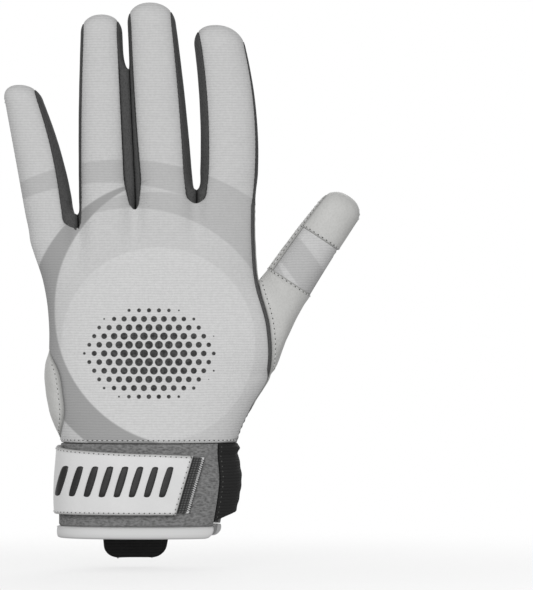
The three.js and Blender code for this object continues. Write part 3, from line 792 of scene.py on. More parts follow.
def knitMaterial():
    # polyester rib knit with a tonal print and a field of printed grip dots, with painted shade in the
    # grooves between the ribs and along the seams
    style = knitStyle
    material, tree, shader = startMaterial("PolyesterRibKnit", style["colour"], 0.9)
    rest = attribute(tree, "rest")
    x, _, z = axes(tree, rest)
    drift = times(tree, calculate(tree, "SUBTRACT", noise(tree, rest, 9), 0.5), 0.9)
    rib = ribs(tree, sum2(tree, z, drift), style["rib"])
    wale = ribs(tree, sum2(tree, x, drift), style["wale"])
    thread = times(tree, calculate(tree, "POWER", rib, 0.6), ramp(tree, wale, 0.0, 0.8, 0.62, 1.0))
    field = disc(tree, x, z, style["fieldArc"][:2], style["fieldArc"][2])
    colour = colourMix(tree, field, style["colour"], style["field"])
    colour = colourMix(tree, crescent(tree, x, z, style["paleArc"]), colour, style["pale"])
    colour = colourMix(tree, crescent(tree, x, z, style["sideArc"]), colour, style["pale"])
    colour = colourMix(tree, crescent(tree, x, z, style["midArc"]), colour, style["mid"])
    dots = halftone(tree, x, z, style)
    colour = colourMix(tree, dots, colour, style["ink"])
    # painted shade in the grooves between the ribs and wales
    groove = ramp(tree, thread, 0.0, 0.75, 0.17, 0.0)
    colour = colourMix(tree, groove, colour, style["groove"])
    mottle = ramp(tree, noise(tree, rest, 1.3, 4.0), 0.3, 0.7, 0.0, 0.16)
    colour = colourMix(tree, mottle, colour, style["mid"])
    # painted shade along the seams and rolled edges
    near = times(tree, attribute(tree, "seam"), 0.35)
    colour = colourMix(tree, near, colour, style["seam"])
    height = sum2(tree, times(tree, thread, 0.09), times(tree, dots, 0.12))
    finishMaterial(tree, shader, colour, height)
    return material


def leatherMaterial(name, hexCode, shade, grain=1.0, roughness=0.6):
    # fine pores and a faint nap, soft wrinkles, a darker smooth skin on pads, and painted shade beside seams
    # and in the stitched grooves round the pads
    material, tree, shader = startMaterial(name, hexCode, roughness)
    rest = attribute(tree, "rest")
    padded = axes(tree, attribute(tree, "cloth"))[2]
    warp = times(tree, noise(tree, rest, 5, 3.0), 2.2)
    bent = addNode(tree, "ShaderNodeVectorMath", {0: rest, 1: warp}, operation="ADD").outputs[0]
    pores = ramp(tree, cells(tree, bent, 0.9), 0.1, 0.75)
    wrinkle = cells(tree, bent, 3.4, "DISTANCE_TO_EDGE")
    folds = ramp(tree, wrinkle, 0.0, 0.3)
    soft = noise(tree, bent, 11, 4.0)
    nap = noise(tree, rest, 0.8, 3.0)
    height = sum2(tree, times(tree, pores, -0.04 * grain), times(tree, folds, 0.03 * grain))
    height = sum2(tree, height, times(tree, soft, 0.45 * grain))
    worn = ramp(tree, soft, 0.32, 0.68, 0.0, 0.2)
    colour = colourMix(tree, worn, hexCode, shade)
    speckle = ramp(tree, nap, 0.42, 0.66, 0.0, 0.24 * grain)
    speckle = times(tree, speckle, ramp(tree, padded, 0.0, 1.0, 1.0, 0.25))
    colour = colourMix(tree, speckle, colour, shade)
    colour = colourMix(tree, times(tree, padded, 0.75), colour, shade)
    # painted shade beside the seams, rolled edges and pad stitching
    near = ramp(tree, attribute(tree, "seam"), 0.15, 1.0, 0.0, 0.6)
    colour = colourMix(tree, near, colour, "#7E7E7C")
    finishMaterial(tree, shader, colour, height)
    return material


def stretchMaterial():
    # warp-knitted nylon: a fine honeycomb of holes, painted dark as the shade inside them, and painted shade
    # along its seams
    material, tree, shader = startMaterial("StretchNylonMesh", "#525252", 0.85)
    rest = attribute(tree, "rest")
    holes = ramp(tree, cells(tree, rest, 0.75), 0.15, 0.6)
    # painted shade inside the holes
    holeShade = times(tree, calculate(tree, "SUBTRACT", 1.0, holes), 0.35)
    colour = colourMix(tree, holeShade, "#585858", "#262626")
    # painted shade along the seams
    near = times(tree, attribute(tree, "seam"), 0.5)
    colour = colourMix(tree, near, colour, "#2E2E2E")
    finishMaterial(tree, shader, colour, times(tree, holes, 0.1))
    return material


def bandMaterial():
    # brushed loop fabric, mottled in short streaks
    material, tree, shader = startMaterial("BrushedLoopFabric", "#7A7A7A", 0.95)
    cloth = attribute(tree, "cloth")
    streaks = noise(tree, cloth, 0.8, 3.0, (0.45, 1.0, 1.0))
    tufts = noise(tree, attribute(tree, "rest"), 1.6, 4.0)
    colour = colourMix(tree, ramp(tree, streaks, 0.3, 0.7), "#626262", "#909090")
    colour = colourMix(tree, ramp(tree, tufts, 0.35, 0.75, 0.0, 0.45), colour, "#A2A2A2")
    height = sum2(tree, times(tree, streaks, 0.35), times(tree, tufts, 0.5))
    finishMaterial(tree, shader, colour, height)
    return material


def bindingMaterial():
    # folded twill tape: fine slanted ribs with painted shade in their grooves, and painted shade along its
    # seam
    material, tree, shader = startMaterial("FoldedTwillBinding", "#F0F0F0", 0.85)
    across, up, _ = axes(tree, attribute(tree, "cloth"))
    rib = ribs(tree, sum2(tree, across, up), 0.9)
    # painted shade in the grooves between the ribs
    colour = colourMix(tree, ramp(tree, rib, 0.0, 0.6, 0.28, 0.0), "#F2F2F2", "#B0B0B0")
    # painted shade along the seam
    colour = colourMix(tree, times(tree, attribute(tree, "seam"), 0.3), colour, "#8A8A8A")
    finishMaterial(tree, shader, colour, times(tree, rib, 0.1))
    return material


def hookMaterial():
    # woven hook tape: rows of tiny hooks over a flat base, with painted shade between the hooks
    material, tree, shader = startMaterial("WovenHookTape", "#4A4A4A", 0.8)
    across, up, _ = axes(tree, attribute(tree, "cloth"))
    hooks = times(tree, ribs(tree, across, 1.3), ribs(tree, up, 1.1))
    # painted shade: darker between the hooks, lighter on them
    colour = colourMix(tree, ramp(tree, hooks, 0.1, 0.8), "#343434", "#646464")
    finishMaterial(tree, shader, colour, times(tree, hooks, 0.35))
    return material


def elasticMaterial(name, low, high, pitch):
    # knitted elastic: strong ribs one way and a fine rib the other way, with painted shade in the grooves
    # between them
    material, tree, shader = startMaterial(name, high, 0.85)
    x, y, z = axes(tree, attribute(tree, "rest"))
    rib = ribs(tree, z, pitch)
    fine = ribs(tree, sum2(tree, x, y), 0.8)
    weave = times(tree, calculate(tree, "POWER", rib, 0.5), ramp(tree, fine, 0.0, 1.0, 0.7, 1.0))
    # painted shade in the grooves between the ribs
    colour = colourMix(tree, weave, low, high)
    finishMaterial(tree, shader, colour, times(tree, weave, 0.2))
    return material


def plain(name, hexCode, roughness, **fixed):
    return startMaterial(name, hexCode, roughness, **fixed)[0]


def rubberMaterial(name, hexCode, shade):
    # moulded rubber with a matt, faintly mottled skin
    material, tree, shader = startMaterial(name, hexCode, 0.5)
    grain = noise(tree, attribute(tree, "rest"), 0.9, 3.0)
    colour = colourMix(tree, ramp(tree, grain, 0.3, 0.7, 0.0, 0.5), hexCode, shade)
    finishMaterial(tree, shader, colour, times(tree, grain, 0.06))
    return material


looks = {
    "knit": knitMaterial(),
    "leather": leatherMaterial("TannedSheepLeather", "#DADAD8", "#BDBDBA"),
    "stretch": stretchMaterial(),
    "band": bandMaterial(),
    "binding": bindingMaterial(),
    "strap": leatherMaterial("CoatedStrapLeather", "#F2F2F2", "#E0E0E0", 0.35, 0.62),
    "hook": hookMaterial(),
    "black": elasticMaterial("KnittedElastic", "#101010", "#232323", 1.3),
    "elastic": elasticMaterial("GreyElastic", "#4C4C4C", "#7A7A7A", 1.5),
    "foam": plain("OpenCellFoam", "#B9BCC0", 0.9),
    "thread": plain("SewingThread", "#E6E6E6", 0.7),
    "hole": plain("NeedleShadow", "#5C5C5A", 0.9),
    "rubber": rubberMaterial("MouldedGripRubber", "#2A2A2A", "#1C1C1C"),
    "accent": rubberMaterial("GreenGripRubber", "#6FC84F", "#62B844"),
}


def finish(name, slotName, shells, body=None, stands=(), surface=None, extra=()):
    # writes a piece, gives it its material slots and hangs it on the frame when a body is given
    kinds = (surface or [slotName]) + ["thread", "hole"] + list(extra)
    piece = writeMesh(name, shells, [looks[key] for key in kinds])
    if stands:
        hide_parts(*stands)
    if body:
        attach(piece, body)
    else:
        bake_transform(piece)
    return piece


# Relief: pads, creases and soft waves, as heights over the plain surface
pads = {
    "height": 1.6, "soft": 2.4, "groove": 0.7, "grooveWidth": 0.9, "corner": 4.4, "longCorner": 6.2,
    "reach": {"little": (6.6, 24), "ring": (7.4, 31), "middle": (8.2, 33), "index": (8.4, 33)},
    "foot": 2.5, "creaseRoom": 3.5, "tipRoom": 2,
    "thumb": {"x": 1, "half": 6.2, "low": 3, "high": 16.5, "corner": 4.4, "height": 1.2},
    "palmHeight": 2.4, "palmCorner": 7.5,
    "palm": [
        (29.1, 136.4), (-2.6, 133.5), (-8.3, 127.9), (-12.2, 115.3), (-10.4, 106.6),
        (12.6, 92.7), (32.2, 108.3), (38.6, 117),
    ],
}


def roundedBox(u, v, halfU, halfV, corner):
    # signed distance to a rectangle with round corners, below 0 inside
    p, q = np.abs(u) - halfU + corner, np.abs(v) - halfV + corner
    return np.hypot(np.maximum(p, 0), np.maximum(q, 0)) + np.minimum(np.maximum(p, q), 0) - corner


def roundedOutline(halfU, halfV, corner, count=160):
    # the same rectangle as a closed line: four straight sides and four quarter circles
    turn = np.linspace(0, fullTurn, count)
    p, q = squared(np.cos(turn), 2), squared(np.sin(turn), 2)
    u = np.sign(p) * (halfU - corner) * (np.abs(p) > 1e-9) + corner * p
    v = np.sign(q) * (halfV - corner) * (np.abs(q) > 1e-9) + corner * q
    return u, v


def polygonDistance(x, z, corners):
    # signed distance to a polygon, from the nearest side and the winding of the sides
    best = np.full(np.broadcast(x, z).shape, 1e9)
    inside = np.zeros(best.shape, bool)
    for (ax, az), (bx, bz) in zip(corners, corners[1:] + corners[:1]):
        ex, ez = bx - ax, bz - az
        t = np.clip(((x - ax) * ex + (z - az) * ez) / (ex * ex + ez * ez), 0, 1)
        best = np.minimum(best, np.hypot(x - ax - t * ex, z - az - t * ez))
        crosses = ((az > z) != (bz > z)) & (x < ex * (z - az) / (ez if ez else 1e-9) + ax)
        inside ^= crosses
    return np.where(inside, -best, best)


def insetCorners(corners, inset):
    # a polygon drawn in by the same amount on every side; its corners run counterclockwise
    corners = np.array(corners)
    ahead = np.roll(corners, -1, 0) - corners
    ahead /= np.linalg.norm(ahead, axis=1, keepdims=True)
    inward = np.stack([-ahead[:, 1], ahead[:, 0]], -1)
    before = np.roll(inward, 1, 0)
    lean = np.sum(inward * before, axis=1, keepdims=True)
    return corners + (inward + before) * inset / (1 + lean), -before, -inward


def roundedPolygon(corners, radius, steps=9):
    # the polygon's outline with its corners turned in circles of one radius
    middles, first, last = insetCorners(corners, radius)
    share = np.linspace(0, 1, steps)[None, :, None]
    arms = mix(first[:, None], last[:, None], share)
    arms /= np.linalg.norm(arms, axis=-1, keepdims=True)
    outline = (middles[:, None] + radius * arms).reshape(-1, 2)
    return np.concatenate([outline, outline[:1]])


def padRise(distance, height):
    # a pad swells inside its outline, its stitches pull a groove along it, and its skin is
    # smoother a little way in
    # the second value, how near the stitched groove is, sets where the leather paints shade along it
    swell = height * (1 - np.exp(-np.maximum(-distance, 0) / pads["soft"]))
    groove = pads["groove"] * np.exp(-((distance / pads["grooveWidth"]) ** 2))
    return swell - groove, np.exp(-((distance / 1.1) ** 2)), smooth((-distance - 0.5) / 1.2)


def padsOf(finger):
    # middle height, half height, half width and corner radius of a finger's two pads
    halfWidth, length = pads["reach"][finger["name"]]
    foot, joint = finger["knuckle"] + pads["foot"], finger["joint"]
    low, high = (foot, joint - pads["creaseRoom"]), (joint + pads["tipRoom"], joint + length)
    spans = (*low, pads["corner"]), (*high, min(pads["longCorner"], halfWidth - 0.3))
    return [((a + b) / 2, (b - a) / 2, halfWidth, corner) for a, b, corner in spans]


def waves(x, z, sizes, seed):
    # a few plane waves of given lengths, whose directions and phases come from the seed
    draw = np.random.default_rng(seed)
    total = 0
    for size in sizes:
        turn, phase = draw.uniform(0, math.pi), draw.uniform(0, fullTurn)
        total = total + np.sin((x * math.cos(turn) + z * math.sin(turn)) * fullTurn / size + phase)
    return total / len(sizes)


def creaseAt(x, z, middle, depth, width, seed, slope=0.0):
    # a wandering crease across a finger: a Gaussian valley with a low lip on each side
    line = middle + slope * x + 0.9 * waves(x, 0, (17, 9), seed)
    away = (z - line) / width
    fade = 0.65 + 0.35 * waves(x, z, (13,), seed + 5)
    return -depth * fade * (1 - 0.5 * away ** 2) * np.exp(-(away ** 2))


creases = {
    "joint": [(-2.6, 0.4, 0.8), (-0.4, 0.75, 1.0), (1.9, 0.5, 0.8)],
    "knuckle": [(-7.5, 0.35, 1.0), (-4.6, 0.6, 1.2), (-1.6, 0.5, 0.9)],
    "tip": [(0, 0.35, 0.9), (3.1, 0.25, 0.8)],
    "thenar": [
        ((49, 72), (22, 99), 0.8, 1.6), ((47, 66), (16, 90), 0.7, 1.8), ((50, 84), (34, 104), 0.6, 1.4),
        ((46, 58), (20, 70), 0.45, 1.8), ((-30, 84), (-12, 90), 0.4, 2.0), ((-36, 72), (-8, 76), 0.4, 2.2),
        ((-44, 121), (-18, 112), 0.6, 1.8), ((-42, 113), (-16, 101), 0.45, 2.0),
        ((14, 88), (40, 97), 0.35, 1.8),
        ((-26, 50), (6, 53), 0.4, 1.8), ((2, 47), (28, 50), 0.35, 1.6), ((-34, 60), (-14, 56), 0.35, 1.8),
    ],
}


def strokeCrease(x, z, start, end, depth, width):
    # a crease along a stroke, deepest in its middle and gone at both ends
    (ax, az), (bx, bz) = start, end
    length = math.hypot(bx - ax, bz - az)
    ux, uz = (bx - ax) / length, (bz - az) / length
    along = ((x - ax) * ux + (z - az) * uz) / length
    bend = 1.6 * np.sin(math.pi * along) + 0.5 * np.sin(fullTurn * along * 2.3)
    away = ((x - ax) * uz - (z - az) * ux - bend) / width
    body = np.clip(4 * along * (1 - along), 0, 1)
    return -depth * body * (1 - 0.6 * away ** 2) * np.exp(-(away ** 2))


def palmRelief(x, z):
    # height of the leather over the palm side of the hand and the four fingers
    rise = 0.22 * waves(x, z, (31, 23, 19), 11) + 0.1 * waves(x, z, (9.5, 7.3, 6.1), 12)
    inner = [tuple(corner) for corner in insetCorners(pads["palm"], pads["palmCorner"])[0]]
    distance = polygonDistance(x, z, inner) - pads["palmCorner"]
    flat, seam, skin = padRise(distance, pads["palmHeight"])
    rise = rise + flat
    for finger in fingers.values():
        offset = x - fingerSection(finger, np.minimum(z, crownStart(finger)))[0]
        onFinger = smooth((15 - np.abs(offset)) / 4)
        for middle, halfHeight, halfWidth, corner in padsOf(finger):
            distance = roundedBox(offset, z - middle, halfWidth, halfHeight, corner)
            flat, near, inside = padRise(distance, pads["height"])
            rise, seam, skin = rise + flat, np.maximum(seam, near), np.maximum(skin, inside)
        seed = 40 + fingerNames.index(finger["name"]) * 7
        for shift, depth, width in creases["joint"]:
            rise = rise + onFinger * creaseAt(offset, z, finger["joint"] + shift, depth, width, seed)
            seed += 1
        for shift, depth, width in creases["knuckle"]:
            rise = rise + onFinger * creaseAt(offset, z, finger["knuckle"] + shift, depth, width, seed)
            seed += 1
        for shift, depth, width in creases["tip"]:
            middle = padsOf(finger)[1][0] + padsOf(finger)[1][1] + 2.5 + shift
            rise = rise + onFinger * creaseAt(offset, z, middle, depth, width, seed)
            seed += 1
    for start, end, depth, width in creases["thenar"]:
        rise = rise + strokeCrease(x, z, start, end, depth, width)
    return rise, seam, skin


def backRelief(x, z):
    # the knit lies smooth: long waves, and faint folds over the joints
    rise = 0.28 * waves(x, z, (47, 36, 29), 21)
    for finger in fingers.values():
        offset = x - fingerSection(finger, np.minimum(z, crownStart(finger)))[0]
        onFinger = smooth((15 - np.abs(offset)) / 4)
        seed = 80 + fingerNames.index(finger["name"]) * 5
        for shift, depth, width in ((-4, 0.12, 2.4), (1.5, 0.16, 2.2), (7, 0.1, 2.6)):
            rise = rise + onFinger * creaseAt(offset, z, finger["joint"] + shift, depth, width, seed)
            seed += 1
    return rise, np.zeros(np.shape(rise)), np.zeros(np.shape(rise))


def reliefOf(face, x, z):
    return backRelief(x, z) if face < 0 else palmRelief(x, z)


# Pieces that make the covers
def rowsOf(shell, shape, first, last):
    # the part of a panel between two of its rows, closed again at the cuts
    rows, columns = shape
    part = {
        key: shell[key].reshape(2, rows, columns, -1)[:, first:last]
        for key in ("points", "rest", "cloth", "seam")
    }
    return shellOf(
        part["points"][0], part["points"][1], shell["look"],
        part["rest"][0], part["cloth"][0], part["seam"][0][..., 0],
    )


def sewn(line, normals, threads=True, holes=True, pitch=None, radius=None, lift=0.1):
    # a row of stitches along a line: thread rods between needle holes
    pitch = stitch["pitch"] if pitch is None else pitch
    radius = stitch["radius"] if radius is None else radius
    shells = []
    if threads:
        shells.append(rodsOn(line, normals, 1, pitch, pitch * stitch["lengthShare"], radius, lift))
    if holes:
        shells.append(holesOn(line, normals, 2, pitch, stitch["hole"]))
    return shells


def insetLine(outer, normals, side, inset):
    # a line that runs a given distance inside one edge of a panel: left, right, low or high
    if side in ("low", "high"):
        points, normal = np.swapaxes(outer, 0, 1), np.swapaxes(normals, 0, 1)
    else:
        points, normal = outer, normals
    if side in ("right", "high"):
        points, normal = points[:, ::-1], normal[:, ::-1]
    steps = np.linalg.norm(np.diff(points, axis=1), axis=2)
    arc = np.pad(np.cumsum(steps, 1), ((0, 0), (1, 0)))
    at = np.argmax(arc >= inset, axis=1)
    row = np.arange(len(points))
    low, high = arc[row, at - 1], arc[row, at]
    share = ((inset - low) / np.maximum(high - low, 1e-6))[:, None]
    line = mix(points[row, at - 1], points[row, at], share)
    return line, mix(normal[row, at - 1], normal[row, at], share)


def strip(line, normals, start, end):
    # part of a line between two shares of its length
    count = len(line)
    return line[int(start * count):int(end * count)], normals[int(start * count):int(end * count)]


# Fingers: knit over the back, leather over the palm side and stretch pieces between
cover = {
    "columns": 46, "rows": 130, "sideColumns": 14, "lift": 11, "bendLow": 0.5, "bendHigh": 9.5,
    "jointReach": 7, "nubPitch": 2.2, "nubDepth": 0.22, "tipSeam": 1.4, "edgeShare": 0.46,
}


def footOf(finger, face, shares):
    # where each column of a cover starts on the knuckle line
    if finger is thumb:
        return np.zeros_like(shares)
    turn = mix(
        -(quarterTurn - footReach(finger, -1, face)), quarterTurn - footReach(finger, 1, face), shares,
    )
    edges = squared(np.sin(turn), oval["finger"])
    x = finger["rootX"] + finger["width"][0] / 2 * edges
    return knuckleHeight(x + edges * gapBeside(finger, edges) / 2)


def coverGrid(finger, face, columns, rows, top):
    # grid over one face, columns from the ulnar to the radial edge
    foot = footOf(finger, face, columns)[None, :]
    station = mix(foot, top, rows[:, None])
    risen = station - foot
    # the columns in the middle run straight up, and those near an edge follow it
    footLow, footHigh = footReach(finger, -1, face), footReach(finger, 1, face)
    turn = mix(footLow - quarterTurn, quarterTurn - footHigh, columns[None, :])
    nearLow = np.clip(1 - columns / cover["edgeShare"], 0, 1)[None, :]
    nearHigh = np.clip(1 - (1 - columns) / cover["edgeShare"], 0, 1)[None, :]
    turn = turn + nearLow * (reachAt(finger, -1, face, station, risen) - footLow)
    turn = turn - nearHigh * (reachAt(finger, 1, face, station, risen) - footHigh)
    return coverPoint(finger, face, turn, station, foot), station, risen, turn


def coverTop(finger, face):
    crown = finger["width"][2] * oval["crownShare"]
    return crownStart(finger) + crown * (quarterTurn - face * oval["overTip"] * degree)


def coreOf(finger, points):
    core = points.copy()
    core[..., 0] = finger["rootX"] + finger["lean"] * 0.4
    core[..., 1] = 0
    return core


columnShares = rolledShares(cover["columns"], 20)
rowShares = rolledShares(cover["rows"], 95, startRolled=False, power=1.3)


def splitRow(foot, top, lift):
    # the row that lies about half way between the knuckle and the joint
    reached = foot + (top - foot) * rowShares
    return int(np.argmin(np.abs(reached - foot - lift)))


def bendsOf(finger):
    # the two bends of a finger's covers: over the knuckle line and over the joint
    name, rootX = finger["name"], finger["rootX"]
    slope = (knuckleHeight(rootX + 1) - knuckleHeight(rootX - 1)) / 2
    rise = np.array([-slope, 0, 1]) / math.hypot(slope, 1)
    root = np.array([rootX, 0, finger["knuckle"]])
    joint, reach = finger["jointPlace"], np.array([0, 0, cover["jointReach"]])
    return [
        ("root", f"{name}_base", root + rise * cover["bendLow"], root + rise * cover["bendHigh"]),
        (f"{name}_base", f"{name}_tip", joint - reach, joint + reach * 1.3),
    ]


def nubs(distances, risen):
    # overlocked edges: a small bump at each stitch, close to the seam
    near = np.exp(-np.minimum(distances[0], distances[1]) / 0.7)
    return -cover["nubDepth"] * near * (0.5 + 0.5 * np.cos(risen * fullTurn / cover["nubPitch"]))


def padStitches(finger):
    # dotted outlines of a finger's two pads, as lines with their normals
    groups = []
    for middle, halfHeight, halfWidth, corner in padsOf(finger):
        u, v = roundedOutline(halfWidth, halfHeight, corner)
        z = middle + v
        x = fingerSection(finger, z)[0] + u
        line, normals = surfaceAt(finger, x, z)
        groups.append((line, normals))
    return groups


def palmSurface(finger, x, z):
    # a point of the leather over a place across the palm side
    if finger is None:
        place = handAt(x, z, palm)
    else:
        centre, halfWidth, _ = fingerSection(finger, z)
        share = np.clip((x - centre) / halfWidth, -0.999, 0.999)
        turn = np.arcsin(np.sign(share) * np.abs(share) ** (oval["finger"] / 2))
        place = coverPoint(finger, palm, turn, z, knuckleHeight(x))
    return place


def surfaceAt(finger, x, z):
    # the raised leather and its normal, from small steps across and along
    step = 0.05
    place = palmSurface(finger, x, z)
    across = palmSurface(finger, x + step, z) - place
    along = palmSurface(finger, x, z + step) - place
    normals = np.cross(along, across)
    normals /= np.linalg.norm(normals, axis=-1, keepdims=True)
    rise = palmRelief(x, z)[0]
    return place + normals * rise[..., None], normals


def fingerCover(finger, face):
    # one face of a finger from the knuckle line over the tip, as two pieces
    name, kind = finger["name"], "knit" if face < 0 else "leather"
    top = coverTop(finger, face)
    grid, station, risen, turn = coverGrid(finger, face, columnShares, rowShares, top)
    grown = smooth(risen / 3)
    leftRoll = np.ones_like(grown) if name == "little" else grown
    rightRoll = np.ones_like(grown) if name == "index" else grown
    rise, near, skin = reliefOf(face, grid[..., 0], grid[..., 2])
    distances = edgeDistances(grid)
    edgeFade = smooth(np.minimum(columnShares, 1 - columnShares) * 20 / 3)[None, :]
    outerEdge = {"little": distances[0], "index": distances[1]}.get(name)
    footFade = 1 if outerEdge is None else smooth(outerEdge / 3)
    past = smooth((crownStart(finger) + 5 - station) / 5)
    rise = rise * mix(footFade, edgeFade, grown) * past
    rise = rise + nubs(distances, risen) * grown * (1 if face < 0 else 0.5)
    shell, outer, normals = panelOf(
        grid, coreOf(finger, grid), wall[kind], rise, rolled=(leftRoll, rightRoll, 0, 1),
        near=near * past, skin=skin * past,
        normals=coverNormals(finger, face, turn, station, footOf(finger, face, columnShares)[None, :]),
    )
    row = splitRow(finger["knuckle"], top, cover["lift"])
    lower = [rowsOf(shell, grid.shape[:2], 0, row + 1)]
    upper = [rowsOf(shell, grid.shape[:2], row, None)]
    if face > 0:
        (lowLine, lowNormals), (highLine, highNormals) = padStitches(finger)
        split = finger["knuckle"] + cover["lift"]
        under = lowLine[:, 2] < split
        half = int(np.argmax(under)), int(len(under) - np.argmax(under[::-1]))
        lower += sewn(lowLine[half[0]:half[1]], lowNormals[half[0]:half[1]])
        ahead = np.concatenate([lowLine[half[1]:], lowLine[:half[0] + 1]])
        aheadNormals = np.concatenate([lowNormals[half[1]:], lowNormals[:half[0] + 1]])
        upper += sewn(ahead, aheadNormals)
        upper += sewn(highLine, highNormals)
        line, normal = insetLine(outer, normals, "high", cover["tipSeam"])
        upper += sewn(line, normal)
    title = kind.capitalize()
    finish(f"{name}Base{title}", kind, lower, stands=[f"{name}_base_{kind}"])
    finish(f"{name}Tip{title}", kind, upper, stands=[f"{name}_tip_{kind}"])


gaps = {
    "closedTo": {"ring": 6, "middle": 61, "index": 6}, "lean": {"ring": 0.5, "middle": 0.85, "index": 0.5},
    "fade": 9, "clear": 0.06, "wave": 0.4,
}


def sideGrid(finger, side):
    # the stretch piece on one side, from the web line to the crown
    crown = finger["width"][2] * oval["crownShare"]
    x = finger["rootX"] + side * finger["width"][0] / 2
    if finger["name"] != "index" or side < 0:
        x = min(crotches, key=lambda crotch: abs(crotch - x))
    foot = 0.0 if finger is thumb else knuckleHeight(x)
    top = crownStart(finger) + crown * finger[sideNames[side]][2] * degree * 0.985
    columns = rolledShares(cover["sideColumns"], 9)[None, :]
    station = mix(foot, top, rowShares)[:, None]
    risen = station - foot
    climb = np.maximum(0, station - crownStart(finger)) / crown
    low = np.sqrt(np.maximum(reachAt(finger, side, back, station, risen) ** 2 - climb ** 2, 0))
    far = reachAt(finger, side, palm, station, risen)
    high = np.sign(far) * np.sqrt(np.maximum(far ** 2 - climb ** 2, 0))
    place = sidePoint(finger, side, mix(-low, high, columns), station)
    if finger is thumb:
        return place, risen, foot, top
    grown = smooth(risen / oval["rootBlend"])[..., None]
    backFoot = onHandEdge(finger, side, back, low, station)
    palmFoot = onHandEdge(finger, side, palm, high, station)
    place = mix(mix(backFoot, palmFoot, columns[..., None]), place, grown)
    return closedGap(finger, side, place, risen, columns), risen, foot, top


def closedGap(finger, side, place, risen, columns):
    # low down a side piece swells to the middle of the gap, where the next finger's meets it,
    # and it draws back in a quarter ellipse, which rounds the bottom of the open gap
    order = fingerNames.index(finger["name"])
    pair = (order - 1, order) if side < 0 else (order, order + 1)
    if pair[1] >= len(fingerNames):
        return place
    first, second = (fingers[fingerNames[k]] for k in pair)
    top, fade = gaps["closedTo"][second["name"]], gaps["fade"]
    high = knuckleHeight(crotches[pair[0]]) + top + fade
    edges = []
    for beside, sign in ((first, 1), (second, -1)):
        x, halfWidth, _ = fingerSection(beside, high)
        edges.append(x + sign * halfWidth)
    end = mix(*edges, gaps["lean"][second["name"]])
    between = mix(crotches[pair[0]], end, np.clip(risen / (top + fade), 0, 1))
    # the meeting line waves a little, so no light passes straight through it
    between = between + gaps["wave"] * np.sin(columns * fullTurn)
    left = 1 - np.clip((risen - top) / fade, 0, 1)
    closed = 1 - np.sqrt(np.maximum(0, 1 - left * left))
    swell = closed * (1 - (2 * columns - 1) ** 4)
    place[..., 0] = mix(place[..., 0], between - side * gaps["clear"], swell)
    return place


def onHandEdge(finger, side, face, reach, station):
    # the edge of a cover carried down onto the hand
    turn = side * (quarterTurn - reach)
    place = ribbonPoint(finger, face, turn, np.minimum(station, crownStart(finger)))
    share = squared(np.sin(turn), oval["finger"])
    faceSign = face * np.sign(np.cos(turn) + 1e-9)
    return onHand(finger, place, share, station, faceSign)


def fingerSide(finger, side):
    grid, risen, foot, top = sideGrid(finger, side)
    rise = 0.04 * waves(grid[..., 1] * 2, grid[..., 2], (11, 7, 17), 61 + side)
    rise = rise * smooth(risen / 6)
    shell = panelOf(
        grid, coreOf(finger, grid), wall["stretch"], rise, rolled=(smooth(risen / 3),) * 2 + (0, 0),
    )[0]
    row = splitRow(foot, top, cover["lift"])
    name, sideName = finger["name"], sideNames[side]
    for part, shells, bend in zip(
        ("base", "tip"),
        (rowsOf(shell, grid.shape[:2], 0, row + 1), rowsOf(shell, grid.shape[:2], row, None)),
        bendsOf(finger),
    ):
        title = f"{name}{part.capitalize()}Side{sideName.capitalize()}"
        finish(title, "stretch", [shells], stands=[f"{name}_{part}_fourchette_{sideName}"])


def foamShell(place, shares, thickness):
    # a crowned closed insert: thick in its middle and thin on its rim
    a, b = np.meshgrid(shares, shares)
    p, q = 2 * a - 1, 2 * b - 1
    drawn = 0.75
    u, v = p * np.sqrt(1 - drawn * q * q / 2), q * np.sqrt(1 - drawn * p * p / 2)
    crown = np.maximum(hill(p, q), 0)
    outer, normals = place(u, v)
    depth = wall["leather"] + 0.35
    top = outer - normals * (depth + 0.6 * (1 - crown))[..., None]
    low = outer - normals * (depth + 0.7 + thickness * crown)[..., None]
    return shellOf(top, low)


foams = {"finger": 1.5, "palm": 2.6, "share": 0.8, "fill": 0.7}


def fingerFoams(finger):
    # the inserts behind a finger's two pads
    shares = np.linspace(0, 1, 18)
    for (middle, halfHeight, halfWidth, _), part in zip(padsOf(finger), ("base", "tip")):
        def place(u, v):
            z = middle + v * halfHeight * foams["share"]
            x = fingerSection(finger, z)[0] + u * halfWidth * foams["share"]
            return surfaceAt(finger, x, z)
        node = f"{finger['name']}_{part}_foam"
        shell = foamShell(place, shares, foams["finger"])
        piece = finish(
            f"{finger['name']}{part.capitalize()}Foam", "foam", [shell], f"{finger['name']}_{part}", [node],
        )


for finger in fingers.values():
    fingerCover(finger, back)
    fingerCover(finger, palm)
    for side in (-1, 1):
        if finger[sideNames[side]][0] > 0:
            fingerSide(finger, side)
    fingerFoams(finger)
print("fingers covered")


# Hand: the back in knit, the palm in leather, both up to the knuckle line
handPanel = {
    "rows": 165, "columnGap": 0.12, "seamLap": 1.6, "lapDepth": 1.5,
    "hemInset": 1.6, "heelInset": 2.2, "topstitch": 2.6,
    "pipingRound": 0.45, "webRadius": 1.1, "edgeShare": 0.62,
}


def handCover(face):
    # the columns of the fingers' covers where they meet the knuckle line, close ones left out
    feet, turns = [], []
    for finger in fingers.values():
        foot = footOf(finger, face, columnShares)
        grid, _, _, turn = coverGrid(finger, face, columnShares, rowShares[:1], coverTop(finger, face))
        feet.append(foot)
        turns.append(plainTurn(face, turn[0], grid[0, :, 0], foot))
    feet, turns = np.concatenate(feet), np.concatenate(turns)
    places = handPoint(turns, feet)
    keep = [0]
    for k in range(1, len(turns) - 1):
        if np.linalg.norm(places[k] - places[keep[-1]]) > handPanel["columnGap"]:
            keep.append(k)
    keep.append(len(turns) - 1)
    return feet[keep], turns[keep]


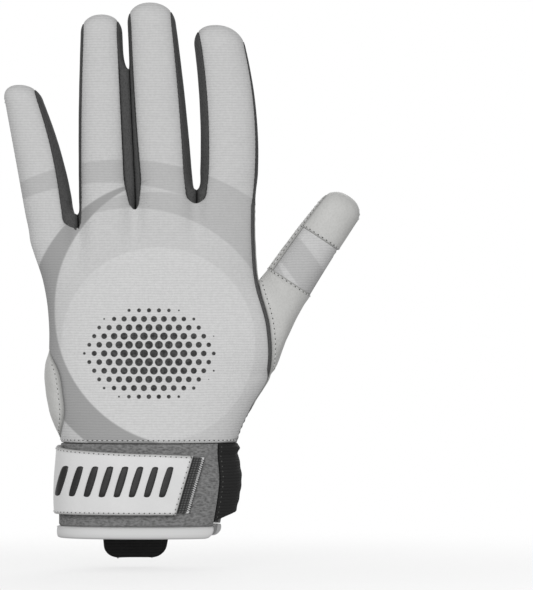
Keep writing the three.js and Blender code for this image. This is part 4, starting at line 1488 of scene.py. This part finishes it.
def handGrid(face):
    low = hand["cuffTop"] + 0.3
    foot, turnTop = handCover(face)
    endTop = pipeEnd(foot) if face < 0 else fullTurn + pipeStart(foot)
    share = ((turnTop - ulnarSeam(foot)) / (endTop - ulnarSeam(foot)))[None, :]
    rows = rolledShares(handPanel["rows"], 100, endRolled=False)[:, None]
    height = mix(low, foot[None, :], rows)
    # the columns run straight down, and those near the thumb follow the panel's own edge
    end = pipeEnd(height) if face < 0 else fullTurn - palmEdge(height)
    beside = np.clip((share - handPanel["edgeShare"]) / (1 - handPanel["edgeShare"]), 0, 1)
    turn = mix(ulnarSeam(height), endTop, share) + beside * (end - endTop)
    return handPoint(turn, height), height, turn


def heelRise(turn, height):
    # the padded heel of the palm, which shows past the ulnar edge of the back
    across = (turn - ulnarSeam(height)) / (2 * hand["heelTurn"] * degree) - 1
    climb = (2 * height - hand["heelLow"] - hand["heelHigh"]) / (hand["heelHigh"] - hand["heelLow"])
    return hand["heelHeight"] * hill(across, climb)


def handPiece(face, kind, node):
    grid, height, turn = handGrid(face)
    rise, near, skin = reliefOf(face, grid[..., 0], grid[..., 2])
    distances = edgeDistances(grid)
    rise = rise * smooth(np.minimum(distances[0], distances[1]) / 3)
    if face > 0:
        rise = rise + heelRise(turn, height)
    shell, outer, normals = panelOf(
        grid, axisOf(grid), wall[kind], rise, rolled=(1, 1, 1, 0), near=near,
        skin=skin, normals=handNormals(turn, height),
    )
    shells = [shell]
    line, normal = insetLine(outer, normals, "low", handPanel["hemInset"])
    shells += sewn(line, normal)
    if face > 0:
        line, normal = insetLine(outer, normals, "left", handPanel["heelInset"])
        shells += sewn(*strip(line, normal, 0.02, 0.42))
        shells += sewn(*palmPadLine())
    return finish("backKnitPanel" if face < 0 else "palmLeatherPanel", kind, shells, "root", [node])


def palmPadLine():
    # the palm pad's outline, walked round its polygon
    corners = roundedPolygon(pads["palm"], pads["palmCorner"])
    arc = np.concatenate([[0], np.cumsum(np.linalg.norm(np.diff(corners, axis=0), axis=1))])
    at = np.linspace(0, arc[-1], 260)
    return surfaceAt(None, np.interp(at, arc, corners[:, 0]), np.interp(at, arc, corners[:, 1]))


def pipingShell():
    # a half-round roll of stretch fabric in the seam beside the thumb
    foot = knuckleHeight(fingers["index"]["rootX"] + fingers["index"]["width"][0] / 2)
    height = np.linspace(hand["cuffTop"] + 0.3, foot, 150)[:, None]
    across = np.concatenate([np.linspace(0, 1, 9), [1, 1.5, 2]])[None, :]
    # past 1 it is the seam allowance, which lies under the leather
    lap = np.maximum(across - 1, 0) * handPanel["seamLap"] / hand["radial"][5]
    turn = mix(pipeEnd(height), pipeStart(height), np.minimum(across, 1)) - lap
    grid = handPoint(turn, height)
    fade = smooth((height - hand["pipingLow"]) / 6)
    rise = handPanel["pipingRound"] * np.sqrt(np.maximum(0, 1 - (2 * across - 1) ** 2)) * fade - 0.35
    rise[:, 9:] = -handPanel["lapDepth"]
    return panelOf(grid, axisOf(grid), wall["knit"], rise, rolled=(0, 0, 0, 0))[0]


def webShell(crotch):
    # a round bar from the back to the palm under the place where two fingers part
    height = knuckleHeight(crotch)
    reach = abs(handAt(crotch, height, back)[1])
    y = np.linspace(-1, 1, 17)[:, None]
    around = np.linspace(0, fullTurn, 13)[None, :-1]
    radius = handPanel["webRadius"] * np.sqrt(np.maximum(1 - 0.85 * y ** 4, 0))
    x = crotch + radius * np.cos(around) * 1.3
    z = height - 0.9 + radius * np.sin(around)
    outer = np.stack(np.broadcast_arrays(x, y * (reach - 0.6), z), -1)
    inner = np.stack(np.broadcast_arrays(
        crotch + (x - crotch) * 0.4, y * (reach - 0.6), height - 0.9 + (z - height + 0.9) * 0.4,
    ), -1)
    return shellOf(outer, inner, ring=True)


def slitShell():
    # the elastic lens that closes the slit at the thumb side of the wrist
    height = np.linspace(hand["cuffTop"] + 0.3, hand["slitTop"] + 1, 40)[:, None]
    across = np.linspace(-0.04, 1.08, 24)[None, :]
    turn = mix(pipeStart(height), -palmEdge(height), across)
    grid = handPoint(turn, height, -0.5)
    rise = 0.15 * np.cos(height * fullTurn / 2.4) * smooth((hand["slitTop"] - height) / 8)
    return panelOf(grid, axisOf(grid), 1.0, rise + 0 * across, rolled=(0, 0, 1, 0))[0]


def palmFoam():
    # the insert behind the palm pad
    shares = np.linspace(0, 1, 34)

    def place(u, v):
        x = 13.5 + u * 25 * foams["share"]
        z = 115 + v * 21 * foams["share"]
        return surfaceAt(None, x, z)
    piece = finish(
        "palmFoamPad", "foam", [foamShell(place, shares, foams["palm"])], "root", ["palm_foam_pad"],
    )


handPiece(back, "knit", "back_knit_panel")
handPiece(palm, "leather", "palm_leather_panel")
finish("thumbSeamPiping", "stretch", [pipingShell()], "root", ["thumb_seam_piping"])
finish("wristSlitGusset", "elastic", [slitShell()], "root", ["wrist_slit_gusset"])
palmFoam()
for crotch, outer, inner in zip(crotches, fingerNames[:-1], fingerNames[1:]):
    title = f"web{outer.capitalize()}{inner.capitalize()}"
    finish(title, "stretch", [webShell(crotch)], "root", [f"web_{outer}_{inner}"])
print("hand covered")


# Thumb: a leather sleeve on the hand, then knit, a leather cap, palm leather and a web strip
thumbCover = {
    "lift": 11.5, "capRaise": 0.45, "knitSink": 0.25, "sleeveRound": 96, "sleeveRows": 50,
    "bulge": 0.55, "bend": (0.3, 9.5), "jointBend": (13.8, 31), "columns": 36,
    "seamLap": 1.6, "seamSink": 0.5, "evened": 6,
}


def sleeveGrid():
    # Hermite curves from the seam on the hand to the ring round the thumb's root
    around = np.linspace(0, fullTurn, thumbCover["sleeveRound"], endpoint=False)[None, :]
    along = rolledShares(thumbCover["sleeveRows"], 32)[:, None]
    height = mix(hand["thumbLow"], hand["thumbHigh"], (1 - np.cos(around)) / 2)
    isBack = around <= math.pi
    turn = np.where(isBack, pipeStart(height), fullTurn - palmEdge(height))
    start = handPoint(turn, height)
    step = np.where(isBack, -0.02, 0.02)
    lead = handPoint(turn + step, height) - start
    lead /= np.maximum(np.linalg.norm(lead, axis=-1, keepdims=True), 1e-9)
    _, halfWidth, halfDepth = fingerSection(thumb, 0)
    ring = np.stack(np.broadcast_arrays(
        halfWidth * squared(np.cos(around), oval["finger"]),
        -halfDepth * squared(np.sin(around), oval["finger"]), 0 * around,
    ), -1)
    end = thumbPlaced(ring)
    axis = thumbPlaced(np.array([0, 0, 1.0])) - thumbPlaced(np.zeros(3))
    reach = np.linalg.norm(end - start, axis=-1, keepdims=True)
    side = (np.abs(np.sin(around)) ** 0.8)[..., None]
    straight = (end - start) / np.maximum(reach, 1e-9)
    first = reach * mix(straight, lead, thumbCover["bulge"] * side)
    last = reach * mix(straight, axis, 0.85)
    t = along[..., None]
    h0, h1 = (1 + 2 * t) * (1 - t) ** 2, t * t * (3 - 2 * t)
    g0, g1 = t * (1 - t) ** 2, -t * t * (1 - t)
    return h0 * start + g0 * first + h1 * end + g1 * last, along


def sleevePiece():
    grid, along = sleeveGrid()
    core = np.broadcast_to(thumbPlaced(np.array([-6, 0, -12.0])), grid.shape)
    rise = 0.14 * waves(grid[..., 0], grid[..., 2], (13, 9, 21), 91)
    rise = rise + 0.35 * smooth((along - 0.86) / 0.1)
    normals = gridNormals(grid, core, ring=True)
    # in the narrow corners the rows lie back on each other, so each normal is turned outwards
    # and evened out with the ones beside it
    normals = np.where(np.sum(normals * (grid - core), -1, keepdims=True) < 0, -normals, normals)
    for _ in range(thumbCover["evened"]):
        normals = normals / 2 + (np.roll(normals, 1, 1) + np.roll(normals, -1, 1)) / 4
    normals /= np.linalg.norm(normals, axis=-1, keepdims=True)
    settled = smooth(np.arange(len(grid)) / 8)[:, None, None]
    normals = mix(normals[8], normals, settled)
    normals /= np.linalg.norm(normals, axis=-1, keepdims=True)
    distances = edgeDistances(grid)
    drop = np.maximum(rolledDrop(distances[2], 0.7), rolledDrop(distances[3], 0.5))
    outer = grid + normals * (rise - drop)[..., None]
    inner = grid - normals * np.maximum(wall["leather"], drop + 0.2)[..., None]
    near = np.exp(-np.minimum(distances[2], distances[3]) / 1.2)
    cloth = np.stack([distances[0], distances[2], 0 * near], -1)
    # a seam allowance runs on under the hand's panels, and narrows to both corners
    away = grid[:1] - grid[1:2]
    narrowed = np.abs(np.sin(np.arange(thumbCover["sleeveRound"]) * fullTurn / thumbCover["sleeveRound"]))
    away = away / np.linalg.norm(away, axis=-1, keepdims=True) * thumbCover["seamLap"] * narrowed[:, None]
    lap = away - normals[:1] * thumbCover["seamSink"]
    lapped = [np.concatenate([rows[:1] + lap, rows]) for rows in (outer, inner)]
    rest, cloth, near = (np.concatenate([rows[:1], rows]) for rows in (grid, cloth, near))
    shells = [shellOf(*lapped, 0, rest, cloth, near, ring=True)]
    line, normal = insetLine(outer, normals, "low", handPanel["topstitch"])
    half = thumbCover["sleeveRound"] // 2
    shells += sewn(line[3:half - 2], normal[3:half - 2])
    line, normal = insetLine(outer, normals, "high", 1.1)
    closed = np.concatenate([line, line[:1]]), np.concatenate([normal, normal[:1]])
    shells += sewn(*closed)
    finish("thumbSleeve", "leather", shells, "root", ["thumb_gusset"])


def thumbBends():
    # the bends over the thumb's root and over its joint, in its own leaning frame
    places = [thumbPlaced(np.array([0, 0, z])) for z in thumbCover["bend"] + thumbCover["jointBend"]]
    return [("root", "thumb_base", *places[:2]), ("thumb_base", "thumb_tip", *places[2:])]


def thumbPiece(
    name, kind, grid, thickness, rise, rolled, node, sew=(), near=None, skin=None, added=(),
):
    placed = thumbPlaced(grid)
    core = thumbPlaced(axisOf(grid))
    shell, outer, normals = panelOf(placed, core, thickness, rise, rolled=rolled, near=near, skin=skin)
    shells = [shell, *added]
    for side, inset, start, end in sew:
        shells += sewn(*strip(*insetLine(outer, normals, side, inset), start, end))
    finish(name, kind, shells, stands=[node])


def thumbGrid(face, low, high, rows):
    # part of the thumb's cover between two stations, its edges drawn in beside the strip
    columns = rolledShares(thumbCover["columns"], 19)[None, :]
    station = mix(low, high, rows)[:, None]
    turnLow = -(quarterTurn - reachAt(thumb, -1, face, station, station + 99))
    turn = mix(turnLow, quarterTurn, columns)
    return ribbonPoint(thumb, face, turn, station)


def coverThumb():
    first, second = thumbBends()
    lift, joint = thumbCover["lift"], thumb["joint"]
    top = {face: coverTop(thumb, face) for face in (back, palm)}
    even = np.linspace(0, 1, 26)
    grid = thumbGrid(back, 0, lift, even)
    sink = -thumbCover["knitSink"] * np.ones(grid.shape[:2])
    thumbPiece("thumbBaseKnit", "knit", grid, 1.0, sink, (1, 1, 0, 0), "thumb_base_knit")
    grid = thumbGrid(back, lift, joint + 1.2, even)
    thumbPiece("thumbUpperKnit", "knit", grid, 1.0, sink, (1, 1, 0, 0), "thumb_base_knit")
    grid = thumbGrid(back, joint, top[back], rolledShares(60, 32))
    rise = thumbCover["capRaise"] + 0.1 * waves(grid[..., 0], grid[..., 2], (14, 9), 95)
    thumbPiece(
        "thumbCap", "leather", grid, 1.2, rise, (1, 1, 1, 1), "thumb_tip_cap",
        [("low", 1.3, 0.07, 0.93), ("high", 1.2, 0.1, 0.9)],
    )
    spec = pads["thumb"]
    half, middle = (spec["high"] - spec["low"]) / 2, joint + (spec["low"] + spec["high"]) / 2
    for name, low, high, rows, node, bend in (
        ("thumbBaseLeather", 0, lift, even, "thumb_base_leather", first),
        (
            "thumbTipLeather", lift, top[palm], rolledShares(70, 45, startRolled=False),
            "thumb_tip_leather", second,
        ),
    ):
        grid = thumbGrid(palm, low, high, rows)
        distance = roundedBox(
            grid[..., 0] - spec["x"], grid[..., 2] - middle, spec["half"], half, spec["corner"],
        )
        rise, near, skin = padRise(distance, spec["height"])
        for shift, depth, width in creases["joint"]:
            seed = 130 + int(shift)
            rise = rise + creaseAt(grid[..., 0], grid[..., 2], joint + shift, depth, width, seed)
        ends = (1, 1, 0, 1) if high > lift else (1, 1, 0, 0)
        outline = []
        if high > lift:
            u, v = roundedOutline(spec["half"], half, spec["corner"])
            line, lean = thumbSurface(spec["x"] + u, middle + v)
            outline = sewn(line - lean * pads["groove"], lean)
        thumbPiece(name, "leather", grid, 1.2, rise, ends, node, near=near, skin=skin, added=outline)
    side, risen = sideGrid(thumb, -1)[:2]
    risenRow = risen[:, 0]
    row = int(np.argmin(np.abs(risenRow - lift)))
    rise = 0.3 + 0.08 * waves(side[..., 1] * 2, side[..., 2], (9, 6), 98)
    for name, rows, node, bend in (
        ("thumbBaseStrip", slice(0, row + 1), "thumb_base_strip", first),
        ("thumbTipStrip", slice(row, None), "thumb_tip_strip", second),
    ):
        thumbPiece(
            name, "leather", side[rows], 1.2, rise[rows], (1, 1, 0, 0), node,
            [("left", 1.1, 0, 0.9), ("left", 3.1, 0, 0.86)],
        )


def thumbPalm(x, z):
    # a point of the thumb's palm side over a place in its own frame
    centre, halfWidth, _ = fingerSection(thumb, z)
    share = (x - centre) / halfWidth
    turn = np.arcsin(np.sign(share) * np.abs(share) ** (oval["finger"] / 2))
    return thumbPlaced(ribbonPoint(thumb, palm, turn, z))


def thumbSurface(x, z):
    # the plain surface and its normal, from small steps across and along
    step = 0.05
    place = thumbPalm(x, z)
    normals = np.cross(thumbPalm(x, z + step) - place, thumbPalm(x + step, z) - place)
    return place, normals / np.linalg.norm(normals, axis=-1, keepdims=True)


def thumbFoam():
    shares = np.linspace(0, 1, 18)
    spec = pads["thumb"]

    def place(u, v):
        half = (spec["high"] - spec["low"]) / 2
        z = thumb["joint"] + spec["low"] + half + v * half * foams["share"]
        return thumbSurface(spec["x"] + u * spec["half"] * foams["share"], z)
    piece = finish(
        "thumbTipFoam", "foam", [foamShell(place, shares, foams["finger"])], "thumb_tip", ["thumb_tip_foam"],
    )


sleevePiece()
coverThumb()
thumbFoam()
print("thumb covered")


# Cuff: loop fabric, binding, the stretch side, and the closure
cuff = {
    "columns": 180, "bandRows": 40, "bindRows": 22, "bindRound": 0.9, "bindSeam": 1.3, "bindCorner": 2.6,
    "sideBack": 41, "sidePalm": 33, "sideLow": 7.5, "sideLift": 3.5, "sideFold": 0.8, "sideInset": 1.4,
}
strap = {
    "rootTurn": 186, "topEndX": 20, "lowEndX": 13, "rootHigh": 40, "endHigh": 36, "low": 10.5,
    "seat": 0.3, "hookWall": 0.9, "inset": 1.2, "lift": 1 / 3, "columns": 110, "rows": 44,
    "hookStart": -12, "hookShow": 6, "hookMargin": 0.8,
    "ribs": 8, "ribFrom": -33, "ribTo": 9, "ribLow": 18.2, "ribHigh": 31.5,
    "ribWidth": 3.1, "ribSlant": 0.28,
}
pull = {
    "topWidth": 37, "lowWidth": 25, "x": -2.7, "lowX": -4.8, "high": 33.5, "drop": 43.5, "corner": 5,
    "columns": 60, "rows": 80, "barWidth": 2.8, "bars": [(27, 10.6), (21.8, 7.4), (16.6, 4.2)],
}


def cuffPiece(name, kind, low, high, rise, rows, node, sew=(), corner=0.0):
    gapTurn = 0.3 / (hand["depth"][0] / 2)
    start = cuff["sideBack"] * degree + gapTurn
    end = fullTurn - cuff["sidePalm"] * degree - gapTurn
    turn = mix(start, end, rolledShares(cuff["columns"], 190))[None, :]
    up = rolledShares(rows, high - low)[:, None]
    # a rounded corner at both ends of the low edge
    inside = np.minimum(turn - start, end - turn) * hand["depth"][0] / 2
    past = np.clip(1 - inside / max(corner, 1e-6), 0, 1)
    height = mix(low + corner * (1 - np.sqrt(1 - past * past)), high, up)
    grid = handPoint(turn, height)
    raised = rise(turn, up) + 0 * grid[..., 0]
    shell, outer, normals = panelOf(grid, axisOf(grid), wall["band"], raised, depth=0.6)
    shells = [shell]
    for side, inset in sew:
        shells += sewn(*insetLine(outer, normals, side, inset), holes=False)
    finish(name, kind, shells, "root", [node])


def sidePanel():
    # the black stretch panel: it bulges a little, its low edge is arched and its top is folded
    turn = mix(-cuff["sidePalm"], cuff["sideBack"], rolledShares(60, 40)) * degree
    arch = 1 - (turn / (40 * degree)) ** 2
    low = cuff["sideLow"] + cuff["sideLift"] * np.clip(arch, 0, 1)
    height = mix(low[None, :], hand["cuffTop"], rolledShares(44, 32)[:, None])
    grid = handPoint(turn[None, :], height)
    t = (height - low[None, :]) / (hand["cuffTop"] - low[None, :])
    folded = 1 - smooth(np.abs(t - 0.93) / 0.06)
    fold = cuff["sideFold"] * folded - 0.3 * np.exp(-((t - 0.85) / 0.02) ** 2)
    rise = 0.5 * np.sin(math.pi * np.clip(t, 0, 1)) + fold + 0.12 * np.cos(height * fullTurn / 5.5)
    shell, outer, normals = panelOf(grid, axisOf(grid), wall["band"], rise)
    shells = [shell]
    for side in ("left", "right"):
        shells += sewn(*insetLine(outer, normals, side, cuff["sideInset"]), threads=False)
    finish("sideStretchPanel", "black", shells, "root", ["side_stretch_panel"])


def strapEndX(height):
    # the free end of the strap is cut on a slant
    share = (height - strap["low"]) / (strap["endHigh"] - strap["low"])
    return mix(strap["lowEndX"], strap["topEndX"], share)


def strapSurface(across, up):
    # across runs from the free end to the sewn end, up from the low to the high edge
    high = mix(strap["endHigh"], strap["rootHigh"], across)
    height = mix(strap["low"], high, up)
    endTurn = handTurn(strapEndX(height), height)
    turn = mix(endTurn, strap["rootTurn"] * degree, across)
    onHook = smooth((1 - across) / strap["lift"])
    lift = mix(strap["seat"], strap["hookWall"] + 2 * strap["seat"], onHook)
    return handPoint(turn, height, lift + wall["strap"])


def strapTab():
    across = rolledShares(strap["columns"], 62, endRolled=False)[None, :]
    up = rolledShares(strap["rows"], 27)[:, None]
    grid = strapSurface(across, up + 0 * across)
    dome = 0.35 * (1 - (2 * up - 1) ** 4) + 0.12 * waves(grid[..., 0], grid[..., 2], (37, 24), 71)
    shell, outer, normals = panelOf(
        grid, axisOf(grid), wall["strap"] - 0.1, dome, rolled=(1, 0, 1, 1), depth=0.45,
    )
    shells = [shell]
    for side in ("left", "low", "high"):
        start, end = (0.04, 0.96) if side == "left" else (0.03, 1.0)
        shells += sewn(*strip(*insetLine(outer, normals, side, strap["inset"]), start, end), radius=0.16)
    shells += gripRibs()
    finish(
        "strapTab", "strap", shells, stands=["strap_tab"],
        surface=["strap"], extra=["rubber"],
    )


def gripRibs():
    # a row of slanted moulded ribs, each a low dome with round ends
    shells = []
    a, b = np.meshgrid(np.linspace(-1, 1, 12), np.linspace(-1, 1, 22))
    for k in range(strap["ribs"]):
        middleX = mix(strap["ribFrom"], strap["ribTo"], k / (strap["ribs"] - 1))
        u, v = a * np.sqrt(1 - 0.35 * b * b), b * np.sqrt(1 - 0.12 * a * a)
        height = mix(strap["ribLow"], strap["ribHigh"], (v + 1) / 2)
        x = middleX + u * strap["ribWidth"] / 2 + strap["ribSlant"] * (height - strap["ribLow"] - 6)
        endTurn = handTurn(strapEndX(height), height)
        across = (handTurn(x, height) - endTurn) / (strap["rootTurn"] * degree - endTurn)
        high = mix(strap["endHigh"], strap["rootHigh"], across)
        up = (height - strap["low"]) / (high - strap["low"])
        grid = strapSurface(across, up)
        normals = gridNormals(grid, axisOf(grid))
        rise = 0.3 + 0.75 * ((1 - a ** 4) * (1 - b ** 6)) ** 0.5
        shells.append(shellOf(grid + normals * rise[..., None], grid - normals * 0.3, 3))
    return shells


def hookPatch():
    up = rolledShares(40, 24)[:, None]
    across = rolledShares(70, 35)[None, :]
    height = mix(strap["low"] + strap["hookMargin"], strap["endHigh"] - strap["hookMargin"], up)
    x = mix(strapEndX(height) + strap["hookShow"], strap["hookStart"], across)
    grid = handPoint(handTurn(x, height), height, strap["seat"] + strap["hookWall"])
    shell, outer, normals = panelOf(grid, axisOf(grid), strap["hookWall"], depth=0.4)
    shells = [shell]
    line, normal = insetLine(outer, normals, "left", 1.2)
    zigzag = np.linspace(0, len(line) - 1, 61)
    points = np.stack([np.interp(zigzag, np.arange(len(line)), line[:, k]) for k in range(3)], -1)
    lean = np.stack([np.interp(zigzag, np.arange(len(line)), normal[:, k]) for k in range(3)], -1)
    points[:, 0] += np.where(np.arange(61) % 2, 0.75, -0.75)
    for k in range(60):
        span = np.linalg.norm(points[k + 1] - points[k])
        shells += [rodsOn(points[k:k + 2], lean[k:k + 2], 1, 9, span, 0.13, 0.05)]
    finish("hookPatch", "hook", shells, "root", ["hook_patch"])


def pullSurface(across, down, raised):
    # a tapered tongue with two rounded corners that hangs past the rim of the cuff
    past = np.maximum(0, 1 - (1 - down) * pull["drop"] / pull["corner"])
    drawn = pull["corner"] * (1 - np.sqrt(1 - past * past))
    half = mix(pull["topWidth"], pull["lowWidth"], down) / 2 - drawn
    x = mix(pull["x"], pull["lowX"], down) + across * half
    height = pull["high"] - down * pull["drop"]
    level = np.maximum(height, 0)
    seat = handPoint(fullTurn - handTurn(x, level), level, raised)
    seat[..., 2] = height
    return seat


def pullBars():
    # three bars of falling length, moulded on the tab
    shells = []
    a, b = np.meshgrid(np.linspace(-1, 1, 26), np.linspace(-1, 1, 10))
    u, v = a * np.sqrt(1 - 0.1 * b * b), b * np.sqrt(1 - 0.3 * a * a)
    for middle, half in pull["bars"]:
        down = (pull["high"] - middle - v * pull["barWidth"] / 2) / pull["drop"]
        width = mix(pull["topWidth"], pull["lowWidth"], down) / 2
        grid = pullSurface(u * half / width, down, 0.3 + wall["pull"])
        normals = gridNormals(grid, axisOf(grid))
        rise = 0.1 + 0.55 * ((1 - a ** 8) * (1 - b ** 6)) ** 0.5
        shells.append(shellOf(grid + normals * rise[..., None], grid - normals * 0.4, 3))
    return shells


def pullTab():
    across = 2 * rolledShares(pull["columns"], 30)[None, :] - 1
    down = np.sin(rolledShares(pull["rows"], 50)[:, None] * quarterTurn)
    grid = pullSurface(across + 0 * down, down + 0 * across, 0.3 + wall["pull"] - 0.2)
    rise = 0.2 * (1 - across ** 4) + 0 * down
    shell, outer, normals = panelOf(grid, axisOf(grid), wall["pull"] - 0.1, rise, depth=0.5)
    shells = [shell]
    for side in ("left", "right"):
        shells += sewn(*strip(*insetLine(outer, normals, side, 1.5), 0.02, 0.93), holes=False, radius=0.14)
    shells += sewn(*insetLine(outer, normals, "low", 1.5), holes=False, radius=0.14)
    shells += pullBars()
    finish(
        "pullTab", "black", shells, stands=["pull_tab"], surface=["black"], extra=["accent"],
    )


def bandWave(turn, t):
    # the loop fabric lies faintly uneven round the wrist
    return 0.1 * np.sin(turn * 9) + 0.1 * np.sin(turn * 5 + 1)


def bindingRound(turn, t):
    # the folded tape has a half-round section
    return cuff["bindRound"] * np.sqrt(np.clip(1 - (2 * t - 1) ** 2, 0, 1))


cuffPiece(
    "cuffBand", "band", hand["bindingTop"] + 0.3, hand["cuffTop"], bandWave, cuff["bandRows"], "cuff_band",
)
cuffPiece(
    "cuffBinding", "binding", 0, hand["bindingTop"], bindingRound, cuff["bindRows"],
    "cuff_binding", [("high", cuff["bindSeam"])], cuff["bindCorner"],
)
sidePanel()
hookPatch()
strapTab()
pullTab()
print("cuff closed")


# Camera, light and floor
view = {"frameHeight": 256.7, "x": 52.9, "z": 105.3, "distance": 2200, "sensor": 24}


def addCamera():
    data = bpy.data.cameras.new("camera")
    data.sensor_fit = "VERTICAL"
    data.sensor_height = view["sensor"]
    data.lens = view["sensor"] * view["distance"] / view["frameHeight"]
    data.clip_end = 20
    camera = bpy.data.objects.new("camera", data)
    camera.location = (view["x"] * mm, -view["distance"] * mm, view["z"] * mm)
    camera.rotation_euler = (math.pi / 2, 0, 0)
    bpy.context.scene.collection.objects.link(camera)
    bpy.context.scene.camera = camera


light = {
    "lamps": [
        ("key", (-0.45, -1.6, 0.75), 1.0, 11.5), ("fill", (0.75, -1.5, 0.25), 1.2, 5),
        ("palmKey", (0.4, 1.6, 0.8), 1.0, 11.5), ("palmFill", (-0.8, 1.4, 0.2), 1.2, 5),
    ],
    "ambient": 0.34, "aim": (0.015, 0, 0.11), "floor": -14, "floorRadius": 0.42,
}


def addLamp(name, place, size, power):
    # a soft square lamp that looks at the glove
    data = bpy.data.lights.new(name, "AREA")
    data.shape = "SQUARE"
    data.size = size
    data.energy = power
    lamp = bpy.data.objects.new(name, data)
    lamp.location = place
    aside, ahead, down = (b - a for a, b in zip(place, light["aim"]))
    flat = math.hypot(aside, ahead)
    lamp.rotation_euler = (quarterTurn + math.atan2(down, flat), 0, math.atan2(-aside, ahead))
    bpy.context.scene.collection.objects.link(lamp)


def addWorld():
    # the studio is white to look at, and gives a weaker light from all around
    world = bpy.data.worlds.new("studio")
    world.use_nodes = True
    tree = world.node_tree
    tree.nodes.clear()
    seen = addNode(tree, "ShaderNodeLightPath").outputs["Is Camera Ray"]
    strength = addNode(tree, "ShaderNodeMapRange", {
        "Value": seen, "To Min": light["ambient"], "To Max": 1.0,
    })
    white = addNode(tree, "ShaderNodeBackground", {"Color": (1, 1, 1, 1), "Strength": strength.outputs[0]})
    addNode(tree, "ShaderNodeOutputWorld", {"Surface": white.outputs[0]})
    bpy.context.scene.world = world


def addFloor():
    # a pale disc that fades into the white of the studio
    material, tree, shader = startMaterial("PaleStudioFloor", "#F4F4F4", 0.9)
    place = addNode(tree, "ShaderNodeTexCoord").outputs["Object"]
    away = addNode(tree, "ShaderNodeVectorMath", {0: place}, operation="LENGTH").outputs["Value"]
    radius = light["floorRadius"]
    fade = ramp(tree, away, radius * 0.15, radius * 0.9, 0.75, 1.0)
    clear = addNode(tree, "ShaderNodeBsdfTransparent")
    both = addNode(tree, "ShaderNodeMixShader", {0: fade, 1: shader.outputs[0], 2: clear.outputs[0]})
    tree.links.new(both.outputs[0], tree.nodes["Material Output"].inputs["Surface"])
    turn = np.arange(48) * fullTurn / 48
    mesh = bpy.data.meshes.new("floor")
    points = np.stack([np.cos(turn) * radius, np.sin(turn) * radius, 0 * turn + light["floor"] * mm], -1)
    mesh.from_pydata(points.tolist(), [], [list(range(len(turn)))])
    mesh.materials.append(material)
    floor = bpy.data.objects.new("floor", mesh)
    bpy.context.scene.collection.objects.link(floor)


addCamera()
addWorld()
addFloor()
for lamp in light["lamps"]:
    addLamp(*lamp)
bpy.context.scene.view_settings.view_transform = "Standard"
print("camera and light set")
